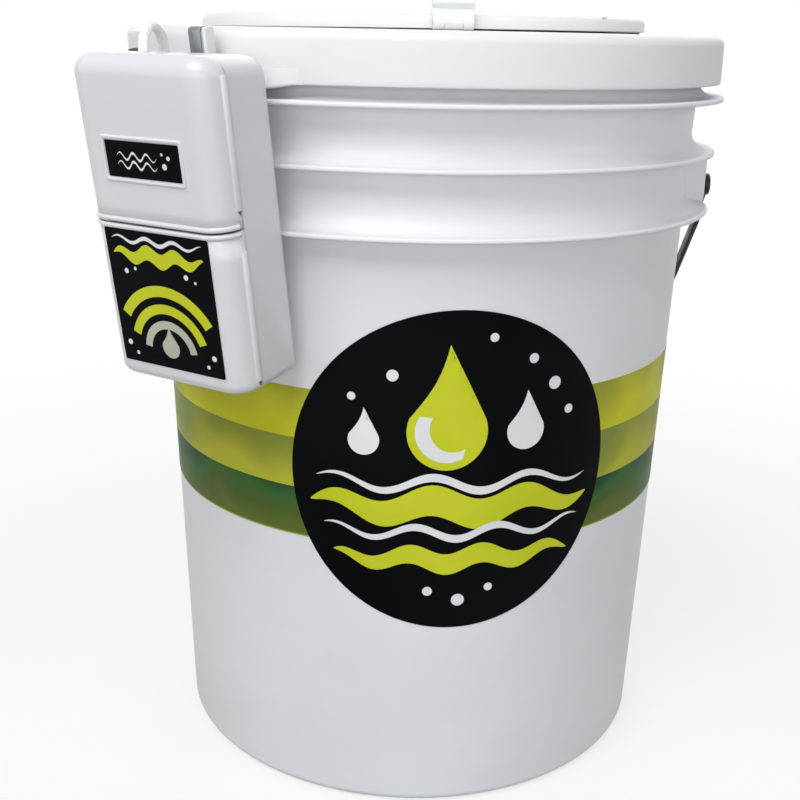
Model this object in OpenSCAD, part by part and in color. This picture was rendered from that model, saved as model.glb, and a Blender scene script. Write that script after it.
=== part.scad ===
// Aerated bait bucket: an insulated pail with a push-on lid, a hinged round
// hatch, a bail, and a battery air pump hung from the lid's bracket.
// Millimetres. Z is up, the origin is the centre of the base, -Y is the front.

/* [Bucket] */
// Outer radius of the wall, carried down to the floor line
bucket_r = 131; // [125:0.5:136]
// Radius gained for each millimetre of height
bucket_taper = 0.0316; // [0.02:0.0002:0.036]
// Height of the rim
bucket_h = 366; // [362:0.5:366]
// Thickness of the wall
wall_t = 2.3; // [1.8:0.1:3]
// Radius of the rounded bottom corner
chine_r = 5; // [3:0.5:7]
// Height of the recess under the floor
foot_h = 5; // [3:0.5:8]
// Width of the ring that the bucket stands on, without its rounded corner
foot_w = 7; // [5:0.5:12]
// Thickness of the floor
floor_t = 3; // [2:0.5:5]
// How far the thickened rim stands out from the wall
rim_out = 3.9; // [3:0.1:4.5]
// Height of the thickened rim
rim_h = 6; // [4:0.5:7]

/* [Ribs] */
// Height of the lower edge of the top rib
rib_top_z = 349.8; // [348:0.1:351]
// How far the top rib stands out from the wall
rib_top_out = 13.3; // [11:0.1:15]
// Height of the lower edge of the middle rib
rib_mid_z = 323.2; // [320:0.1:326]
// How far the middle rib stands out from the wall
rib_mid_out = 12; // [10:0.1:14]
// Height of the lower edge of the bottom rib
rib_low_z = 294.2; // [290:0.1:298]
// How far the bottom rib stands out from the wall
rib_low_out = 12.1; // [10:0.1:13]
// Thickness of a rib at its edge
rib_t = 2.4; // [1.6:0.1:3.2]
// Radius of the hollow blend above a rib
rib_blend = 9; // [5:0.5:10]

/* [Liner] */
// Thickness of the foam sleeve and the foam base
liner_t = 14; // [8:0.5:18]
// Height of the top of the foam
liner_top_z = 330; // [300:1:340]
// Gap between the foam and the wall
liner_gap = 0.5; // [0.3:0.1:1]

/* [Bail] */
// Height of the pivot
bail_z = 304.5; // [304:0.1:309]
// Radius of the pivot stud
stud_r = 3.5; // [2.5:0.1:4]
// Running clearance of the stud in its ear
stud_gap = 0.1; // [0.05:0.01:0.1]
// Length of the stud inside the ear
stud_len = 8; // [5:0.5:8.5]
// How far the ears stand out past the bottom rib
ear_out = 0.4; // [0.2:0.1:1]
// Width of an ear
ear_w = 16; // [14:0.5:22]
// Thickness of the strap
strap_t = 4.3; // [3:0.1:5]
// Width of the strap
strap_w = 10; // [8:0.5:12]
// Gap between an ear and the strap
strap_gap = 0.8; // [0.5:0.1:1.5]
// Gap between the top rib and a leg that stands upright
leg_gap = 0.8; // [0.4:0.1:1.5]
// Clearance between the strap and its grip
grip_gap = 0.1; // [0.05:0.01:0.2]
// Straight length of each leg
leg_len = 90; // [80:1:100]
// Reach of the hoop from the pivot to the middle of the grip
hoop_len = 199; // [190:0.5:210]
// Gap between the hanging grip and the wall
hang_gap = 5; // [3:0.5:10]
// Length of the grip
grip_len = 110; // [90:1:130]
// Thickness of the grip
grip_t = 13; // [10:0.5:13]
// Width of the grip
grip_w = 18; // [14:0.5:18]

/* [Graphics] */
// Height of the lower edge of the stripes
stripe_z = 146; // [130:0.5:160]
// Height of each of the three stripes
stripe_h = 25.3; // [20:0.1:28]
// Radius of the round label
disc_r = 80; // [60:0.5:85]
// Height of the middle of the round label
disc_z = 183; // [170:0.5:190]
// Angle of the round label to the right of the front
disc_turn = 9.1; // [0:0.1:20]
// Thickness of the printed film
film_t = 0.25; // [0.15:0.05:0.4]
// Thickness of the glue under the film
glue_t = 0.1; // [0.05:0.01:0.15]

/* [Lid] */
// How far the skirt stands out from the rim
skirt_out = 6.6; // [6:0.1:8]
// Thickness of the skirt
skirt_t = 2.5; // [2:0.1:3]
// Height of the skirt's lower edge
skirt_z = 358.2; // [357.5:0.1:360]
// Radius of the rounded shoulder
shoulder_round = 5; // [3:0.5:6]
// Height of the flat deck
deck_z = 381; // [380:0.1:381.5]
// Thickness of the deck
deck_t = 3; // [2:0.1:3.5]
// Radius of the opening in the lid
opening_r = 104; // [98:0.5:104]
// Thickness of the wall round the opening
collar_t = 3; // [2:0.1:4]
// Depth of the lid below its deck
collar_h = 23; // [18:0.5:25]
// Gap between the lid's inner ring and the bucket's wall
plug_gap = 1.6; // [1.4:0.1:2.2]
// Thickness of the lid's inner ring
plug_t = 2.5; // [2:0.1:3]
// Thickness of the rim gasket
gasket_t = 2.6; // [2:0.1:3]
// How far the pump's bracket stands out from the skirt
bracket_out = 4.7; // [4:0.1:6]
// Height of the bracket's lower edge
bracket_z = 356.2; // [355:0.1:358]
// Height of the bracket's face
bracket_h = 8.6; // [6:0.1:12]

/* [Hatch] */
// How far the hatch laps over the deck round the opening
hatch_lap = 10.5; // [8:0.1:12]
// Sideways offset of the hatch's centre
hatch_x = -1.3; // [-3:0.1:3]
// Turn of the latch to the right of the front
hatch_turn = 6.4; // [0:0.1:15]
// Height of the hatch
hatch_h = 6.1; // [5.6:0.1:9]
// Gap between the deck and the hatch
hatch_gap = 0.9; // [0.8:0.1:1.4]
// Thickness of the hatch's skin
hatch_t = 2.2; // [1.8:0.1:2.6]
// Thickness of the hatch's inner liner
hatch_liner_t = 1; // [0.8:0.1:1.2]
// Radius of the hatch's rounded top edge
hatch_round = 1.8; // [1:0.1:2.5]
// Radius of the hinge pin
hinge_pin_r = 1.5; // [1.2:0.1:2]
// Distance from the hatch's edge to the hinge pin
hinge_out = 5; // [4.5:0.1:6]

/* [Latch] */
// Width of the latch at its lip
latch_w = 18.6; // [14:0.1:24]
// How much narrower the latch is at its pin
latch_taper = 1; // [0:0.1:2]
// Thickness of the latch
latch_t = 2.2; // [1.8:0.1:2.6]
// Height of the latch above its pin
latch_h = 10.4; // [9.6:0.1:14]
// How far the latch's nose reaches over the hatch
latch_nose = 0.9; // [0.5:0.1:1.2]
// Radius of the latch pin
latch_pin_r = 1; // [0.8:0.1:1.2]
// Distance from the hatch's edge to the latch pin
latch_out = 4.2; // [4:0.1:5]

/* [Pump case] */
// Direction that the pump faces, to the left of the front
pump_az = 32; // [28:0.5:38]
// Gap between the pump's back and the bracket
pump_clear = 4.7; // [4.6:0.1:6]
// Sideways shift of the pump from its seat on the rib
pump_side = -11.4; // [-14:0.1:-4]
// Height of the rib above the pump's bottom edge
pump_seat_h = 61.3; // [55:0.1:66]
// Gap between the pump's back and the rib
pump_gap = 0.3; // [0.3:0.1:1]
// Room for play beside the two batteries
play_w = 5.6; // [5:0.1:10]
// Room for play in front of and behind the batteries
play_d = 0.8; // [0.6:0.1:3]
// Height of the case's front above the batteries
head_h = 11.6; // [11.4:0.1:16]
// How much the case's top falls for each millimetre towards the back
top_fall = 0.16; // [0:0.01:0.16]
// Radius of the case's upright front corners
front_round = 11.5; // [6:0.5:13]
// Radius of the case's back corners
back_round = 5; // [3:0.5:6]
// Radius of the case's top edges
top_round = 9; // [5:0.5:10]
// Radius of the case's lower edges
low_round = 5; // [3:0.5:8]
// Thickness of the case
case_t = 2; // [1.6:0.1:2.1]
// Height of the seam between the two front covers
seam_z = 72.8; // [70:0.1:74]
// Depth of the front covers
cover_d = 13; // [11:0.1:14]
// Gap at the seam
seam_gap = 0.8; // [0.6:0.1:1.2]
// Height of the raised bead on each side of the seam
bead_w = 1.9; // [1.4:0.1:2.5]
// How far beads and ridges stand out
bead_t = 0.8; // [0.5:0.1:1.2]

/* [Pump hanger] */
// Width of the spring steel strip
strip_w = 6.4; // [6:0.1:10]
// Thickness of the strip
strip_t = 0.9; // [0.6:0.1:1.1]
// Sideways place of the strip on the case
strip_x = 0.4; // [-2:0.1:6]
// Height of the top of the hook above the case's top edge
hook_rise = 11.6; // [10:0.1:13]
// Thickness of the lug that the hook hangs on
lug_t = 3; // [2:0.1:3.4]
// Width of the lug
lug_w = 6; // [5:0.5:6]

/* [Air line] */
// Outer radius of the air line
line_r = 2.4; // [2.2:0.1:2.6]
// Inner radius of the air line
line_bore = 1.62; // [1.5:0.01:1.7]
// Radius of the spigots that the air line is pushed on
spigot_r = 1.55; // [1.4:0.01:1.56]
// Sideways place of the air outlet on the case
outlet_x = -15; // [-17:0.5:-14]
// Distance of the air outlet behind the front face
outlet_y = 24; // [23:0.5:25]
// Sideways place of the lid's air port in the pump's frame
port_x = -22.5; // [-25:0.5:-20]
// Distance of the air port behind the case's back
port_out = 5; // [4.6:0.1:6]
// Radius of the air stone
stone_r = 8; // [6:0.5:10]
// Length of the air stone
stone_len = 28; // [20:1:40]

/* [Pump inside] */
// Radius of a battery
cell_r = 17.1; // [16.5:0.1:17.1]
// Length of a battery
cell_len = 61.5; // [58:0.1:61.5]
// Height of the batteries' lower ends above the case's bottom
cell_z = 69.8; // [69.5:0.1:70.2]
// Radius of the motor
motor_r = 12; // [10:0.5:12]
// Length of the motor
motor_len = 30; // [26:0.5:31]
// Radius of the motor shaft
shaft_r = 1; // [0.8:0.1:1.2]
// Throw of the cam
cam_throw = 1; // [0.6:0.1:1.4]
// Radius of the cam
cam_r = 5; // [4:0.5:5.5]
// Radius of the pump head
head_r = 14; // [12:0.5:14.5]

/* [Button] */
// Radius of the rubber button
button_r = 5; // [4:0.1:5.4]
// Sideways place of the button on the case
button_x = -26; // [-27:0.5:-24]
// Distance of the button behind the front face
button_y = 30; // [29:0.5:30]
// How far the button stands out of the case
button_rise = 1.8; // [1.6:0.1:3]
// Travel of the button
button_travel = 1.5; // [1:0.1:2]

/* [Hidden] */
$fn = 96;
eps = 0.01;
body_white = [0.93, 0.94, 0.95];
pump_white = [0.88, 0.89, 0.90];
soft_black = [0.08, 0.08, 0.09];
foam_white = [0.97, 0.97, 0.94];
rubber_grey = [0.35, 0.36, 0.38];
steel = [0.62, 0.63, 0.65];
stripe_colours = [[0.13, 0.25, 0.06], [0.56, 0.59, 0.23], [0.73, 0.73, 0.16]];

// Wall of the bucket at a height
function wall_r(z) = bucket_r + bucket_taper * z;
// Points of an arc, from one angle to another
function arc(cx, cz, r, a0, a1, n = 8) = [
    for (i = [0:n]) [cx + r * cos(a0 + (a1 - a0) * i / n), cz + r * sin(a0 + (a1 - a0) * i / n)]
];
// Outline of one rib, from its lower edge up its hollow blend
function rib(r, z) = concat(
    [[wall_r(z), z], [r - 0.4, z], [r, z + 0.4], [r, z + rib_t - 0.4], [r - 0.4, z + rib_t]],
    arc(wall_r(z) + rib_blend, z + rib_t + rib_blend, rib_blend, 270, 180)
);
rim_r = wall_r(bucket_h) + rim_out;
rib_top_r = wall_r(rib_top_z) + rib_top_out;
rib_mid_r = wall_r(rib_mid_z) + rib_mid_out;
rib_low_r = wall_r(rib_low_z) + rib_low_out;
ear_r = rib_low_r + ear_out;
inner_floor_z = foot_h + floor_t;
deck_low_z = deck_z - deck_t;
lid_low_z = deck_z - collar_h;
plug_r = wall_r(bucket_h) - wall_t - plug_gap;
seat_z = bucket_h + gasket_t;
seat_r = rim_r + 1;
skirt_r = rim_r + skirt_out;
skirt_in_r = skirt_r - skirt_t;
channel_z = deck_z - shoulder_round - 1;
bracket_r = skirt_r + bracket_out;
hatch_r = opening_r + hatch_lap;
hatch_z = deck_z + hatch_gap;
hatch_top_z = hatch_z + hatch_h;
hinge_y = hatch_r + hinge_out;
hinge_z = hatch_z + 3.6;
latch_y = -hatch_r - latch_out;
latch_z = deck_z + 2.8;
barrel_r = hinge_pin_r + 1.6;
latch_barrel_r = latch_pin_r + 1.4;
pin_gap = 0.05;
case_w = 4 * cell_r + 2 * case_t + play_w;
case_d = 2 * cell_r + 2 * case_t + play_d;
case_h = cell_z + cell_len + head_h;
// Height of the case's sloping top at a distance behind the front face
function top_at(y) = case_h - top_fall * y;
hook_z = top_at(case_d) + hook_rise;
port_y = case_d + port_out;
// The pump's back rests on the bottom rib and stands clear of the bracket
bracket_mid_z = bracket_z + bracket_h / 2;
pump_lean = atan((bracket_r + pump_clear - rib_low_r - pump_gap) / (bracket_mid_z - rib_low_z));

// The pump's own frame: x to its right, y from its front face to its back, z up
module at_pump() {
    rotate([0, 0, -pump_az])
        translate([pump_side, -(rib_low_r + pump_gap), rib_low_z])
            rotate([pump_lean, 0, 0])
                translate([0, -case_d, -pump_seat_h])
                    children();
}
// A point of the pump's frame in the bucket's frame
function lean_p(p) = [
    p[0] + pump_side,
    (p[1] - case_d) * cos(pump_lean) - (p[2] - pump_seat_h) * sin(pump_lean) - rib_low_r - pump_gap,
    (p[1] - case_d) * sin(pump_lean) + (p[2] - pump_seat_h) * cos(pump_lean) + rib_low_z
];
function turn_p(p) = [
    p[0] * cos(pump_az) + p[1] * sin(pump_az), -p[0] * sin(pump_az) + p[1] * cos(pump_az), p[2]
];
function pump_point(p) = turn_p(lean_p(p));
module at_hatch() {
    translate([hatch_x, 0, 0]) rotate([0, 0, hatch_turn]) children();
}
// Ring segment between two angles to the left of the front
module front_ring(a0, a1) {
    rotate([0, 0, -90 - a1]) rotate_extrude(angle = a1 - a0) children();
}
module box(x0, x1, y0, y1, z0, z1) {
    translate([x0, y0, z0]) cube([x1 - x0, y1 - y0, z1 - z0]);
}
module rod_x(x0, x1, y, z, r) {
    translate([x0, y, z]) rotate([0, 90, 0]) cylinder(r = r, h = x1 - x0);
}
module rod_y(x, y0, y1, z, r) {
    translate([x, y0, z]) rotate([-90, 0, 0]) cylinder(r = r, h = y1 - y0);
}
module rod_z(x, y, z0, z1, r) {
    translate([x, y, z0]) cylinder(r = r, h = z1 - z0);
}
function unit(v) = v / norm(v);
function rect(x0, x1, y0, y1) = [[x0, y0], [x1, y0], [x1, y1], [x0, y1]];
// Flat outline with a radius for each of its corners
module rounded(points, radii) {
    n = len(points);
    difference() {
        polygon(points);
        for (i = [0:n - 1])
            corner_cut(points[i], unit(points[(i + n - 1) % n] - points[i]),
                unit(points[(i + 1) % n] - points[i]), radii[i]);
    }
}
// What the rounding takes off a corner whose edges run along a and b
module corner_cut(corner, a, b, r) {
    half = acos(a * b) / 2;
    out = unit(a + b);
    middle = corner + out * r / sin(half);
    difference() {
        polygon([corner - out, corner + a * r / tan(half), middle, corner + b * r / tan(half)]);
        translate(middle) circle(r);
    }
}
// Tube swept along points; every ring is square to the route
function route_dir(p, i) = unit(p[min(i + 1, len(p) - 1)] - p[max(i - 1, 0)]);
function side_of(d) = unit(cross(d, abs(d[2]) > 0.9 ? [1, 0.3, 0] : [0.2, 0.1, 1]));
function carry(side, d) = unit(side - d * (side * d));
function frames(p, i = 0, side = undef) =
    i == len(p) ? [] :
    let (d = route_dir(p, i), s = i == 0 ? side_of(d) : carry(side, d))
    concat([[d, s, cross(d, s)]], frames(p, i + 1, s));
module swept_tube(p, r, sides) {
    f = frames(p);
    n = len(p);
    points = [
        for (i = [0:n - 1]) for (k = [0:sides - 1])
            p[i] + r * (cos(360 * k / sides) * f[i][1] + sin(360 * k / sides) * f[i][2])
    ];
    walls = [
        for (i = [0:n - 2]) for (k = [0:sides - 1])
            let (a = i * sides + k, b = i * sides + (k + 1) % sides)
            each [[a, a + sides, b], [b, a + sides, b + sides]]
    ];
    start_cap = [for (k = [1:sides - 2]) [0, k, k + 1]];
    end_cap = [for (k = [1:sides - 2]) [(n - 1) * sides, (n - 1) * sides + k + 1, (n - 1) * sides + k]];
    polyhedron(points = points, faces = concat(walls, start_cap, end_cap));
}

// Bucket
module bucket_shell() {
    outer = concat(
        arc(wall_r(chine_r) - chine_r, chine_r, chine_r, 270, 360),
        rib(rib_low_r, rib_low_z), rib(rib_mid_r, rib_mid_z), rib(rib_top_r, rib_top_z),
        [[rim_r, bucket_h - rim_h + 1.5], [rim_r, bucket_h - 1], [rim_r - 1, bucket_h]]
    );
    inner = concat(
        [[wall_r(bucket_h) - wall_t, bucket_h]],
        arc(wall_r(inner_floor_z + 4) - wall_t - 4, inner_floor_z + 4, 4, 0, -90),
        [[0, inner_floor_z], [0, foot_h]]
    );
    foot_in = wall_r(0) - chine_r - foot_w;
    color(body_white) difference() {
        union() {
            rotate_extrude() polygon(concat([[foot_in - 2, foot_h], [foot_in, 0]], outer, inner));
            for (side = [0, 180]) rotate([0, 0, side]) bail_ear();
        }
        for (side = [0, 180]) rotate([0, 0, side])
            rod_x(ear_r - stud_len - 0.5, ear_r + 1, 0, bail_z, stud_r + stud_gap);
    }
}
module bail_ear() {
    difference() {
        intersection() {
            box(bucket_r, ear_r + 1, -ear_w / 2, ear_w / 2, rib_low_z + 1, rib_mid_z + 1);
            cylinder(r = ear_r, h = bucket_h);
        }
        cylinder(r = wall_r(rib_low_z) - wall_t / 2, h = bucket_h);
    }
}
// Radius of the foam's outer face at a height
function foam_r(z) = wall_r(z) - wall_t - liner_gap;
foam_floor_z = inner_floor_z + liner_t;
module foam_liner() {
    color(foam_white) rotate_extrude() polygon([
        [foam_r(foam_floor_z), foam_floor_z], [foam_r(liner_top_z), liner_top_z],
        [foam_r(liner_top_z) - liner_t, liner_top_z], [foam_r(foam_floor_z) - liner_t, foam_floor_z]
    ]);
}
module foam_base() {
    low = inner_floor_z;
    corner = 5;
    color(foam_white) rotate_extrude() polygon([
        [0, low], [foam_r(low) - corner, low], [foam_r(low + corner), low + corner],
        [foam_r(foam_floor_z), foam_floor_z], [0, foam_floor_z]
    ]);
}
module film_ring(z0, z1) {
    low = wall_r(z0) + glue_t;
    high = wall_r(z1) + glue_t;
    rotate_extrude() polygon([[low, z0], [low + film_t, z0], [high + film_t, z1], [high, z1]]);
}
module disc_column() {
    rotate([0, 0, disc_turn]) rod_y(0, -bucket_r - 30, 0, disc_z, disc_r);
}
// The stripes stop at the edge of the round label
module stripe_label() {
    for (i = [0:2])
        color(stripe_colours[i]) difference() {
            film_ring(stripe_z + i * stripe_h, stripe_z + (i + 1) * stripe_h);
            disc_column();
        }
}
module round_label() {
    color(soft_black) intersection() {
        film_ring(disc_z - disc_r - 1, disc_z + disc_r + 1);
        disc_column();
    }
}

// Bail, drawn flat as a hoop and then hung behind the bucket
// each leg steps out past its hub to clear the top rib
strap_in = ear_r + strap_gap;
leg_in = rib_top_r + leg_gap;
hoop_mid = leg_in + strap_t / 2;
// The grip hangs this far below its pivot, and the wall stops it at this angle
hang_z = bail_z - 133.2;
hang_angle = acos((wall_r(hang_z) + grip_t / 2 + hang_gap) / hoop_len);
step_start = strap_w;
step_end = rib_top_z - bail_z - strap_w;
hoop_rise = hoop_len - leg_len;
// Point of the hoop at an angle, out from its middle line
function hoop_point(a, out) =
    let (n = unit([cos(a) / hoop_mid, sin(a) / hoop_rise]))
    [hoop_mid * cos(a) + out * n[0], leg_len + hoop_rise * sin(a) + out * n[1]];
module hoop_band(out, width, a0, a1, steps) {
    step = (a1 - a0) / steps;
    linear_extrude(width, center = true) polygon(concat(
        [for (i = [0:steps]) hoop_point(a0 + i * step, out)],
        [for (i = [steps:-1:0]) hoop_point(a0 + i * step, -out)]
    ));
}
module hang_bail() {
    translate([0, 0, bail_z]) rotate([-hang_angle, 0, 0]) children();
}
module bail_strap() {
    color(soft_black) hang_bail() {
        hoop_band(strap_t / 2, strap_w, 0, 180, 40);
        for (side = [0, 180]) rotate([0, side, 0]) {
            linear_extrude(strap_w, center = true) polygon([
                [strap_in, 0], [strap_in, step_start], [leg_in, step_end], [leg_in, leg_len + eps],
                [leg_in + strap_t, leg_len + eps], [leg_in + strap_t, step_end],
                [strap_in + strap_t, step_start], [strap_in + strap_t, 0]
            ]);
            rod_x(strap_in, strap_in + strap_t, 0, 0, strap_w / 2 + 0.8);
            rod_x(ear_r - stud_len, strap_in + 1, 0, 0, stud_r);
        }
    }
}
module bail_grip() {
    half = asin(grip_len / 2 / hoop_mid);
    color(soft_black) hang_bail() difference() {
        hoop_band(grip_t / 2, grip_w, 90 - half, 90 + half, 16);
        hoop_band(strap_t / 2 + grip_gap, strap_w + 2 * grip_gap, 88 - half, 92 + half, 20);
    }
}

// Lid
bracket_a0 = 18.5;
bracket_a1 = 50;
bracket_ledge = 2.4;
duct_z = seat_z + 3;
duct_r = 1.1;
drop_x = -94;
drop_y = -91;
drop_top_z = 362;
port_z = top_at(outlet_y) - 4;
port_foot = pump_point([port_x, port_y, port_z - 1.5]);
port_turn = atan2(port_foot[1], port_foot[0]);
duct_bend = [(seat_r - 1) * cos(port_turn), (seat_r - 1) * sin(port_turn), duct_z];
module lid_ring() {
    rotate_extrude() polygon(concat(
        [[skirt_r, skirt_z]],
        arc(skirt_r - shoulder_round, deck_z - shoulder_round, shoulder_round, 0, 90, 10),
        [[opening_r, deck_z], [opening_r, lid_low_z],
         [opening_r + collar_t, lid_low_z], [opening_r + collar_t, deck_low_z],
         [plug_r - plug_t, deck_low_z], [plug_r - plug_t, lid_low_z], [plug_r, lid_low_z],
         [plug_r, seat_z], [seat_r, seat_z], [seat_r, channel_z], [skirt_in_r, channel_z],
         [skirt_in_r, skirt_z + 3.6], [seat_r + 0.5, skirt_z + 2.4],
         [seat_r + 0.5, skirt_z + 1.2], [skirt_in_r, skirt_z]]
    ));
}
// Bracket on the skirt: a curved boss, the lug for the hanger and the air port
module lid_bracket() {
    face_z = bracket_z + bracket_h;
    front_ring(bracket_a0, bracket_a1) polygon([
        [skirt_in_r + 1, bracket_z], [bracket_r - 1, bracket_z], [bracket_r, bracket_z + 1],
        [bracket_r, face_z - 0.6], [bracket_r - 0.6, face_z],
        [skirt_r - 0.5, face_z + bracket_ledge], [skirt_in_r + 1, face_z + bracket_ledge]
    ]);
    bracket_end();
    lug_y = case_d + strip_t + 0.3;
    low = port_z - 9;
    reach = 14;
    difference() {
        at_pump() {
            box(strip_x - lug_w / 2, strip_x + lug_w / 2, lug_y, lug_y + lug_t, low,
                hook_z - strip_t - 0.3);
            box(strip_x - lug_w / 2, strip_x + lug_w / 2, lug_y, lug_y + reach, low, port_z + 3);
            rod_z(port_x, port_y, low, port_z, port_block_r);
            box(port_x - 3.8, port_x + 3.8, port_y, port_y + reach, low, port_z - 0.2);
            box(port_x - 3.8, port_x + 3.8, port_y + 3, port_y + reach, low, port_z + 4);
        }
        cylinder(r = skirt_in_r + 1, h = 2 * bucket_h);
    }
    at_pump() rod_z(port_x, port_y, port_z - 1, bend_z, spigot_r);
}
// The bracket's right end falls back to the skirt in a wedge
module bracket_end() {
    run = 5;
    steps = 4;
    for (i = [0:steps - 1]) {
        out = bracket_out * (1 - (i + 0.5) / steps);
        front_ring(bracket_a0 - (i + 1) * run / steps, bracket_a0 - i * run / steps) polygon([
            [skirt_in_r + 1, bracket_z + 0.4], [skirt_r + out, bracket_z + 0.4],
            [skirt_r + out, bracket_z + bracket_h - 0.2],
            [skirt_in_r + 1, bracket_z + bracket_h + bracket_ledge * 0.8]
        ]);
    }
}
// Air passage: down the spigot, up over the gasket, across and down to the drop line
module air_passage() {
    at_pump() rod_z(port_x, port_y, port_z - 2.5, bend_z + 1, spigot_r - 0.6);
    bore_between(port_foot, duct_bend, duct_r - 0.2);
    bore_between([drop_x, drop_y, duct_z], duct_bend, duct_r);
    rod_z(drop_x, drop_y, drop_top_z - 1, duct_z + duct_r + 0.4, duct_r + 0.2);
}
// Bore from one point to just past another
module bore_between(a, b, r) {
    d = b - a;
    translate(a) rotate([0, acos(d[2] / norm(d)), atan2(d[1], d[0])])
        cylinder(r = r, h = norm(d) + 0.5);
}
module hinge_lugs() {
    at_hatch() {
        for (side = [-1, 1]) translate([side * 22, 0, 0]) {
            rod_x(-4, 4, hinge_y, hinge_z, barrel_r);
            box(-4, 4, hinge_y - barrel_r, hinge_y + barrel_r, deck_z - 1, hinge_z);
        }
        rod_x(-4, 4, latch_y, latch_z, latch_barrel_r);
        box(-4, 4, latch_y - latch_barrel_r, latch_y + latch_barrel_r, deck_z - 1, latch_z);
    }
}
// Boss round the passage, from above the gasket's seat to the channel's roof
module duct_boss() {
    run = [duct_bend[0] - drop_x, duct_bend[1] - drop_y];
    translate([drop_x, drop_y, seat_z]) rotate([0, 0, atan2(run[1], run[0])])
        box(0, norm(run) + 5, -2.5, 2.5, 0, channel_z - seat_z + 1);
}
module lid_shell() {
    color(body_white) difference() {
        union() {
            lid_ring();
            lid_bracket();
            hinge_lugs();
            rod_z(drop_x, drop_y, drop_top_z, deck_low_z + 1, 3.6);
            duct_boss();
        }
        air_passage();
        at_hatch() {
            rod_x(-30, 30, hinge_y, hinge_z, hinge_pin_r + pin_gap);
            rod_x(-5, 5, latch_y, latch_z, latch_pin_r + pin_gap);
        }
    }
}
module rim_gasket() {
    color(rubber_grey) rotate_extrude() polygon([
        [plug_r + 0.5, bucket_h], [rim_r - 1, bucket_h], [rim_r - 1, seat_z], [plug_r + 0.5, seat_z]
    ]);
}
module lid_foam() {
    r0 = opening_r + collar_t + 0.3;
    r1 = norm([drop_x, drop_y]) - 4.8;
    color(foam_white) rotate_extrude() polygon([
        [r0, lid_low_z], [r1, lid_low_z], [r1, deck_low_z], [r0, deck_low_z]
    ]);
}
module hinge_pin() {
    color(steel) at_hatch() rod_x(-27, 27, hinge_y, hinge_z, hinge_pin_r);
}
module latch_pin() {
    color(steel) at_hatch() rod_x(-latch_w / 2 + 0.5, latch_w / 2 - 0.5, latch_y, latch_z, latch_pin_r);
}
drop_route = [
    [drop_x, drop_y, drop_top_z], [drop_x, drop_y, 352], [-92, -89, 342], [-87, -84, 332],
    [-81, -78, 321], [-77, -74, 307], [-76, -73, 290], [-76, -73, 270], [-76, -72, 250],
    [-75, -72, 230], [-75, -71, 210], [-74, -71, 190], [-73, -70, 170], [-73, -70, 150],
    [-72, -70, 130], [-72, -69, 110], [-72, -69, 92], [-72, -69, 78], [-71, -69, 66],
    [-67, -69, 53], [-60, -69, 43], [-51, -69, 35.5], [-41, -69, 31.2], [-30, -69, 30]
];
module airline_drop() {
    color(foam_white) swept_tube(drop_route, line_r, 8);
}
// The stone lies on the liner's floor at the end of the air line
module air_stone() {
    last = drop_route[len(drop_route) - 1];
    dir = last - drop_route[len(drop_route) - 2];
    color([0.45, 0.55, 0.62]) translate([last[0], last[1], last[2]])
        rotate([0, 0, atan2(dir[1], dir[0])]) {
            rod_x(0.4, 8, 0, 0, 2);
            translate([6, 0, 0]) rotate([0, 90, 0]) rotate_extrude() polygon([
                [0, 0], [stone_r - 2, 0], [stone_r, 2], [stone_r, stone_len - 2],
                [stone_r - 2, stone_len], [0, stone_len]
            ]);
        }
}

// Hatch and latch
module hatch_cover() {
    color(body_white) at_hatch() difference() {
        union() {
            rotate_extrude() polygon(concat(
                [[hatch_r - hatch_t, hatch_z], [hatch_r, hatch_z]],
                arc(hatch_r - hatch_round, hatch_top_z - hatch_round, hatch_round, 0, 90, 8),
                [[0, hatch_top_z], [0, hatch_top_z - hatch_t],
                 [hatch_r - hatch_t - 2, hatch_top_z - hatch_t],
                 [hatch_r - hatch_t, hatch_top_z - hatch_t - 2]]
            ));
            rod_x(-17, 17, hinge_y, hinge_z, barrel_r);
            box(-17, 17, hatch_r - 3, hinge_y, hinge_z - 2, hinge_z + 2);
        }
        rod_x(-20, 20, hinge_y, hinge_z, hinge_pin_r + pin_gap);
    }
}
module hatch_liner() {
    r = hatch_r - hatch_t - 0.3;
    color(body_white) at_hatch() rotate_extrude()
        polygon([[0, hatch_z], [r, hatch_z], [r, hatch_z + hatch_liner_t], [0, hatch_z + hatch_liner_t]]);
}
module hatch_foam() {
    r = hatch_r - hatch_t - 2.4;
    color(foam_white) at_hatch() rod_z(0, 0, hatch_z + hatch_liner_t, hatch_top_z - hatch_t, r);
}
module hatch_gasket() {
    color(soft_black) at_hatch() difference() {
        rod_z(0, 0, deck_z + 0.3, hatch_z, hatch_r - 2.3);
        rod_z(0, 0, deck_z, hatch_z + 1, opening_r + 4.5);
    }
}
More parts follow.
